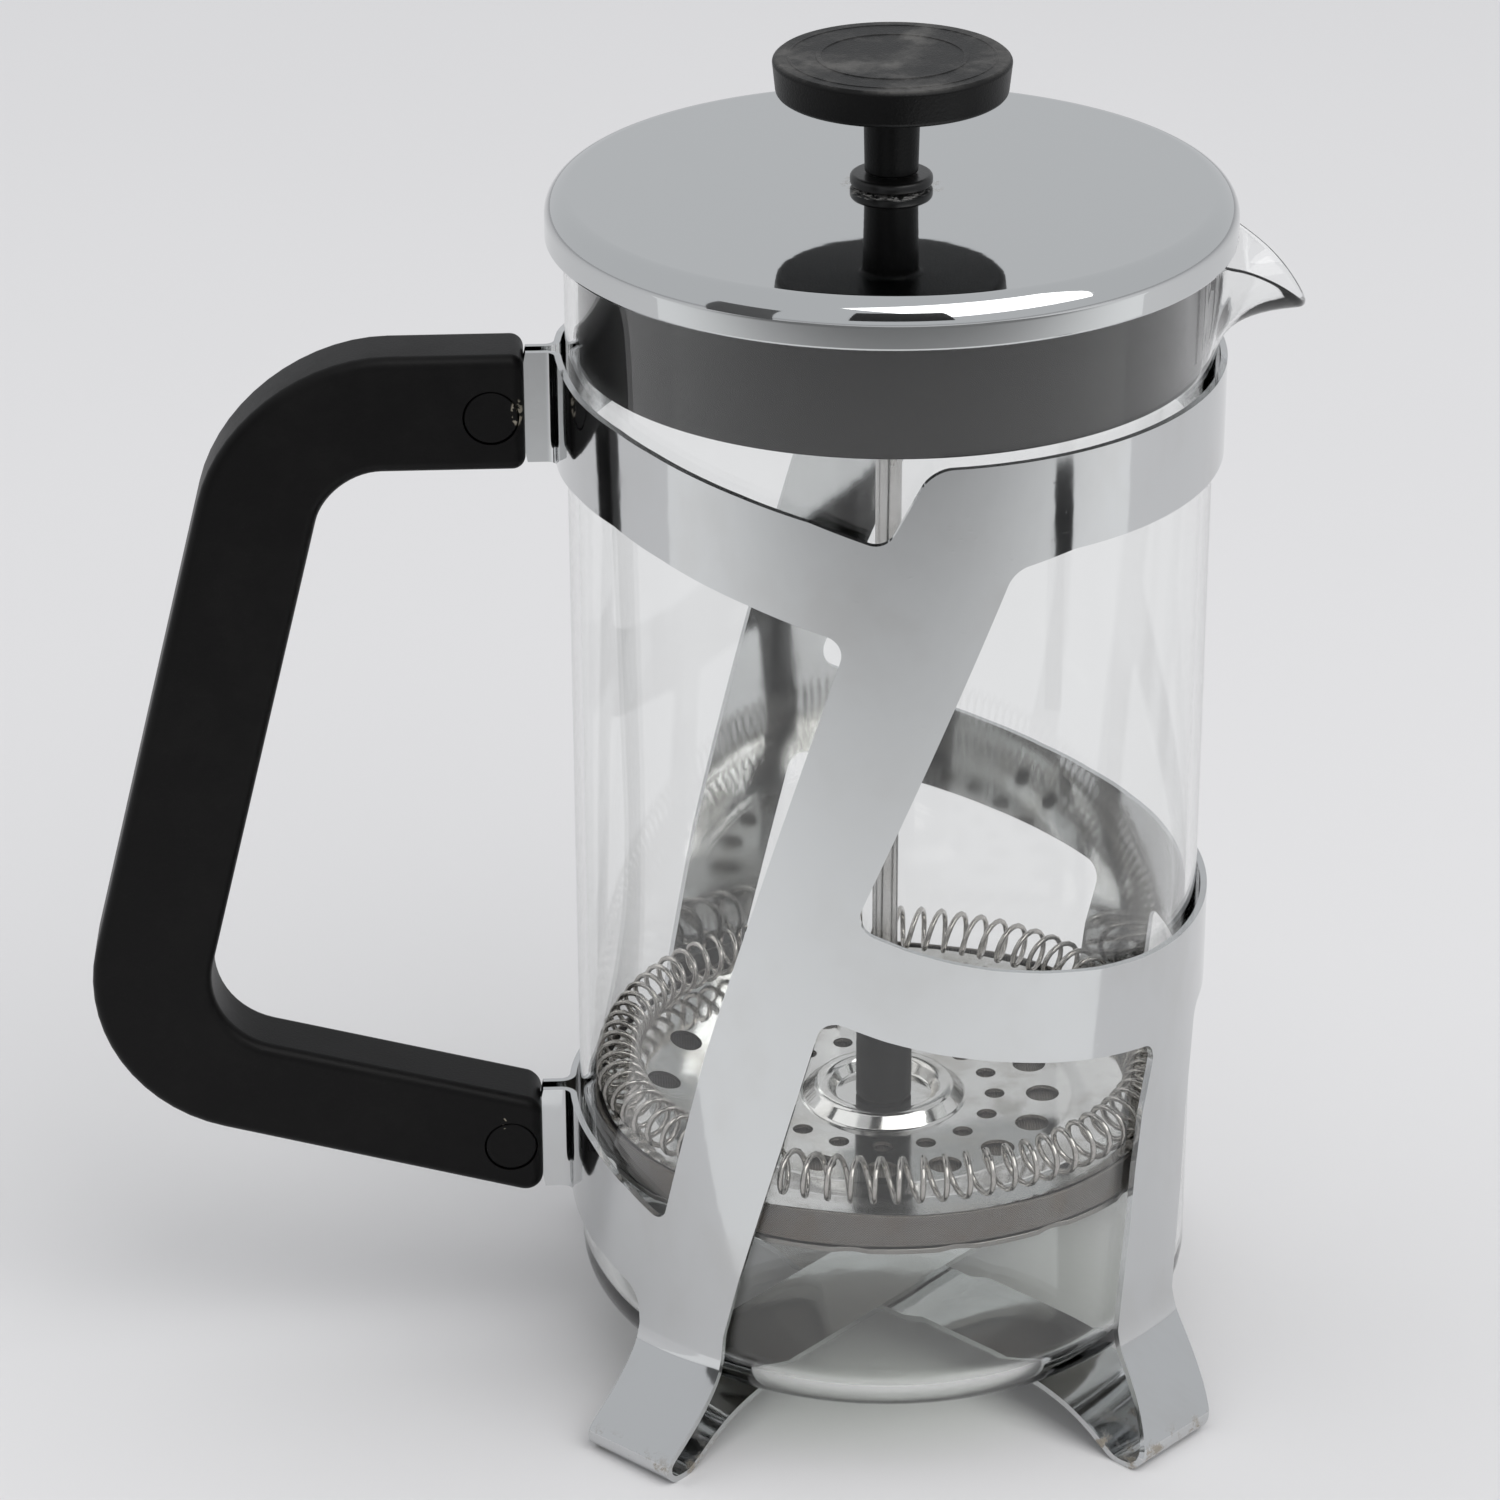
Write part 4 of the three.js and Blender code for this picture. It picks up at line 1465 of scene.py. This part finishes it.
@dataclass(frozen=True)
class Filter(Assembly):
    """The stack at the foot of the rod: punched plate, coil ring, wire cloth and back plate."""

    spring_r: float = 42.2
    coil: float = 3.3
    wire: float = 0.45
    spring_z: float = 49.6
    loops: int = 79
    lean: float = 0.8
    back_r: float = 45.89
    notches: int = 18
    notch_from: float = 0.55
    notch_depth: float = 0.6
    ring_holes: int = 16
    first_hole: float = 18.0
    big_hole: float = 2.65
    small_hole: float = 1.6
    outer_row: float = 35.0
    big_row: float = 25.3
    small_row: float = 17.7

    def hole(self, number: int, at: float, radius: float) -> Shape:
        """The peg that punches one hole.

        Args:
            number: Its number round the plate.
            at: Its distance from the rod.
            radius: Its radius.

        Returns:
            The peg.
        """
        turn = math.radians(self.first_hole) + number * TURN / self.ring_holes
        return Shape.peg((at * math.cos(turn), at * math.sin(turn), 43), radius, 12, Axis.Z, 28)

    def plate(self) -> Shape:
        """The punched top plate, with its raised ring round the sleeve.

        Returns:
            The plate.
        """
        plate = Shape.turned([
            (BORE, 40.8), (8.2, 40.8, 0.6), (9.3, 43.0, 0.8), (10.7, 43.0, 0.8),
            (12.6, 41.0, 0.8), (30.0, 41.3, 4), (38.5, 43.6, 4), (44.6, 44.2), (44.6, 44.8),
            (38.3, 44.2, 4), (29.8, 41.9, 4), (12.9, 41.6, 0.9), (10.9, 43.7, 1.2),
            (8.9, 43.7, 1.2), (7.6, 41.5, 0.6), (BORE, 41.5),
        ], 180, True, 6)
        rows = ((self.big_row, self.big_hole), (self.small_row, self.small_hole))
        pegs = [self.hole(k, at, radius) for at, radius in rows
                for k in range(self.ring_holes)]
        return plate.cut(*pegs, self.hole(6, self.outer_row, self.big_hole),
                         self.hole(7, self.outer_row, self.big_hole))

    def spring(self) -> Shape:
        """The coil that runs round the plate's edge.

        Returns:
            The coil.
        """
        around = 16
        total = self.loops * around
        curve = bpy.data.curves.new("coil line", "CURVE")
        curve.dimensions = "3D"
        curve.bevel_depth, curve.bevel_resolution = self.wire, 2
        line = curve.splines.new("POLY")
        line.points.add(total - 1)
        line.use_cyclic_u = True
        for k in range(total):
            loop = TURN * k / around
            turn = TURN * (k - self.lean * around / TURN * math.sin(loop)) / total
            r = self.spring_r + self.coil * math.cos(loop)
            line.points[k].co = (r * math.cos(turn), r * math.sin(turn),
                                 self.spring_z + self.coil * math.sin(loop), 1)
        wound = bpy.data.objects.new("coil line", curve)
        bpy.context.scene.collection.objects.link(wound)
        bpy.context.view_layer.update()
        ready = wound.evaluated_get(bpy.context.evaluated_depsgraph_get())
        shape = Shape()
        shape.mesh.from_mesh(ready.to_mesh())
        bpy.data.objects.remove(wound)
        bpy.data.curves.remove(curve)
        return shape.welded()

    @staticmethod
    def ragged(p: Vector) -> Vector:
        """The cloth's turned-up edge, pressed a little unevenly.

        Args:
            p: A point of the even cloth.

        Returns:
            The point of the pressed cloth.
        """
        up = max(0.0, p.z - 42.0) / 3.7
        turn = math.atan2(p.y, p.x)
        wave = 0.5 + 0.3 * math.sin(5 * turn + 1.0) + 0.2 * math.sin(11 * turn)
        return Vector((p.x, p.y, p.z - 0.7 * up * wave))

    def back_plate(self) -> Shape:
        """The scalloped plate under the wire cloth, with its four windows.

        Returns:
            The plate.
        """
        plate = Shape()
        bmesh.ops.create_circle(plate.mesh, cap_ends=True, segments=432, radius=self.back_r)

        def scallop(p: Vector) -> Vector:
            """Notches the rim.

            Args:
                p: A point of the round rim.

            Returns:
                The point of the notched rim.
            """
            wave = math.cos(self.notches * math.atan2(p.y, p.x))
            notch = max(0.0, wave - self.notch_from) / (1 - self.notch_from)
            r = self.back_r - self.notch_depth * notch
            return Vector((p.x, p.y, 0)).normalized() * r

        plate.bent(scallop)
        new = bmesh.ops.extrude_face_region(plate.mesh, geom=plate.mesh.faces[:],
                                            use_keep_orig=True)["geom"]
        raised = [v for v in new if isinstance(v, bmesh.types.BMVert)]
        bmesh.ops.translate(plate.mesh, verts=raised, vec=(0, 0, 0.9))
        plate.moved(z=38.7).welded()
        window = [(15, -4.6, 2), (33.2, -20.6, 4), (38.3, -9.4), (39.4, 0), (38.3, 9.4),
                  (33.2, 20.6, 4), (15, 4.6, 2)]
        tools = [Shape.pulled(window, Axis.Z, 36, 42, 6).turned_by(45 + 90 * k)
                 for k in range(4)]
        hub = Shape.peg((0, 0, 39), BORE, 8, Axis.Z, 40)
        return plate.cut(*tools, hub)

    def build(self) -> None:
        """Builds and dresses the filter."""
        centre = (self.axis_x * MM, 0.0)
        self.place(self.plate(), "punched_plate", Body.FILTER,
                   PunchedPlate("plate steel").material(), Slot.LID, ("spring_plate",),
                   None, 0, 35)
        bright = BrushedSteel("coil steel", (1, 1, 1), (0.46, 0.44, 0.415), 0.13, 900.0)
        self.place(self.spring(), "coil_ring", Body.FILTER, bright.material(), Slot.STEEL,
                   ("coil_spring",), None, 0, 60)
        cloth = Shape.turned([
            (BORE, 39.9), (46.0, 39.9, 0.5), (46.0, 45.7, 0.2), (45.4, 45.7, 0.2),
            (45.4, 40.5, 0.3), (BORE, 40.5),
        ], 200, True, 3)
        cloth.bent(self.ragged)
        self.place(cloth, "wire_cloth", Body.FILTER,
                   WireCloth("wire cloth", centre, 0.0457).material(), Slot.WIRE_CLOTH,
                   ("filter_mesh",), None, 0, 30)
        dull = BrushedSteel("back plate steel", (1, 0.04, 1), (0.26, 0.25, 0.235), 0.34, 1800.0)
        back = dull.material()
        self.place(self.back_plate(), "back_plate", Body.FILTER, back, Slot.STEEL,
                   ("cross_plate",), Edge(0.15, 2, 40), 0, 40)
        hexagon = [(6.1 * math.cos(k * TURN / 6), 6.1 * math.sin(k * TURN / 6), 0.5)
                   for k in range(6)]
        nut = Shape.pulled(hexagon, Axis.Z, 35.4, 38.4, 3)
        nut.cut(Shape.peg((0, 0, 37), BORE, 8, Axis.Z, 40))
        self.place(nut, "hub_hex", Body.FILTER, back, Slot.STEEL, ("hub_nut",),
                   Edge(0.3, 2, 40), 0, 40)


# ---- nodes kept as packed -------------------------------------------------------------------


def dress_kept_nodes(nodes: dict[str, bpy.types.Object]) -> None:
    """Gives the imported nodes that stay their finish.

    Args:
        nodes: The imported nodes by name.
    """
    zinc = BrushedSteel("screw steel", (1, 0.05, 1), (0.48, 0.48, 0.47), 0.3, 2200.0).material()
    black = Plastic("nut plastic", rough=0.4).material()
    kept = {
        "handle_screw_upper": zinc, "handle_screw_lower": zinc,
        "handle_nut_upper": zinc, "handle_nut_lower": zinc, "bush_nut": black,
    }
    for name, material in kept.items():
        for place in nodes[name].material_slots:
            place.material = material
        LOG.info("%s kept as packed, in %s", name, material.name)


# ---- studio ---------------------------------------------------------------------------------


@dataclass(frozen=True)
class Studio:
    """The pale floor, the soft lights and the camera."""

    eye: tuple[float, float, float] = (-0.02140121, -0.71561125, 0.43542154)
    ahead: tuple[float, float, float] = (0.0318006, 0.89695785, -0.44097091)
    upward: tuple[float, float, float] = (0.02366878, 0.44039452, 0.89749232)
    lens: float = 122.974
    shift: tuple[float, float] = (0.02578, 0.0720)

    def camera(self) -> None:
        """Sets up the camera."""
        data = bpy.data.cameras.new("camera")
        data.lens, data.sensor_width = self.lens, 36.0
        data.shift_x, data.shift_y = self.shift
        data.clip_start, data.clip_end = 0.01, 50.0
        camera = bpy.data.objects.new("camera", data)
        ahead, upward = Vector(self.ahead), Vector(self.upward)
        across = ahead.cross(upward).normalized()
        upward = across.cross(ahead).normalized()
        turn = Matrix((across, upward, -ahead.normalized())).transposed().to_4x4()
        camera.matrix_world = Matrix.Translation(self.eye) @ turn
        bpy.context.scene.collection.objects.link(camera)
        bpy.context.scene.camera = camera

    def lamp(self, name: str, at: Sequence[float], aim: Sequence[float], size: float,
             power: float, shows: bool = True) -> None:
        """Hangs one soft box.

        Args:
            name: Its name.
            at: Its place.
            aim: The point that it faces.
            size: Its side.
            power: Its power in watts.
            shows: Whether reflections see it.
        """
        data = bpy.data.lights.new(name, "AREA")
        data.size, data.energy = size, power
        data.color = (1.0, 0.995, 0.99)
        lamp = bpy.data.objects.new(name, data)
        lamp.matrix_world = Matrix.Translation(at) @ (
            Vector(at) - Vector(aim)).to_track_quat("Z", "Y").to_matrix().to_4x4()
        lamp.visible_glossy = shows
        bpy.context.scene.collection.objects.link(lamp)

    def card(self, name: str, at: Sequence[float], size: Sequence[float], turn: float,
             finish: Backdrop, flat: bool = False) -> None:
        """Puts up a card that only reflections see.

        Args:
            name: Its name.
            at: Its middle.
            size: Its width and height.
            turn: Its turn about Z, in degrees.
            finish: Its paper.
            flat: Lies on the table instead of standing.
        """
        card = Shape()
        bmesh.ops.create_grid(card.mesh, x_segments=2, y_segments=2, size=0.5)
        bmesh.ops.scale(card.mesh, vec=(size[0], size[1], 1), verts=card.mesh.verts)
        card.turned_by(0 if flat else 90, "X").turned_by(turn).moved(*at)
        obj = card.loose(name)
        obj.data.materials.append(finish.material())
        obj.visible_camera = False
        obj.visible_shadow = False
        obj.visible_diffuse = False
        obj.visible_transmission = False

    def build(self) -> None:
        """Sets up the whole studio."""
        scene = bpy.context.scene
        scene.view_settings.view_transform = "Standard"
        floor = Shape()
        bmesh.ops.create_grid(floor.mesh, x_segments=8, y_segments=8, size=20.0)
        ground = floor.loose("floor")
        ground.data.materials.append(Backdrop("paper").material())
        world = bpy.data.worlds.new("room")
        world.use_nodes = True
        sky = world.node_tree.nodes["Background"]
        sky.inputs[0].default_value = (0.96, 0.975, 1.0, 1)
        sky.inputs[1].default_value = 0.68
        scene.world = world
        self.lamp("key", (0.75, -0.85, 1.8), (0, 0, 0.1), 1.9, 27.0)
        self.lamp("fill", (-1.2, 0.3, 1.7), (0, 0, 0.1), 2.2, 9.0, False)
        dark = Backdrop("dark card", (0.03, 0.03, 0.03))
        self.card("front card", (0.02, -1.25, 1.05), (0.75, 1.1), 0, dark)
        self.card("left card", (-0.95, -0.75, 0.45), (0.5, 0.9), -45,
                  Backdrop("grey card", (0.12, 0.12, 0.12)))
        self.card("low card", (0.28, -0.19, 0.03), (0.035, 0.06), 58, dark)
        # Painted light and shade on a card that only reflections see: paler than the paper near
        # the press for the light there, dark further in front for the shade on the table.
        painted_light_and_shade = Backdrop("fading card", (0.84, 0.84, 0.84), (0.16, 0.16, 0.16))
        self.card("table card", (0.02, -0.70, 0.004), (1.6, 1.26), 0, painted_light_and_shade, True)
        self.camera()


def main() -> None:
    """Builds every sub-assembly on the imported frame."""
    logging.basicConfig(level=logging.INFO, format="%(message)s", stream=sys.stdout)
    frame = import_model()
    low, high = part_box("plunger_rod")
    axis_x = round((low.x + high.x) / 2 / MM, 3)
    for assembly in (Stand, Handle, Beaker, Lid, Plunger, Filter):
        assembly(axis_x).build()
    dress_kept_nodes(frame["nodes"])
    Studio().build()


if __name__ == "__main__":
    main()
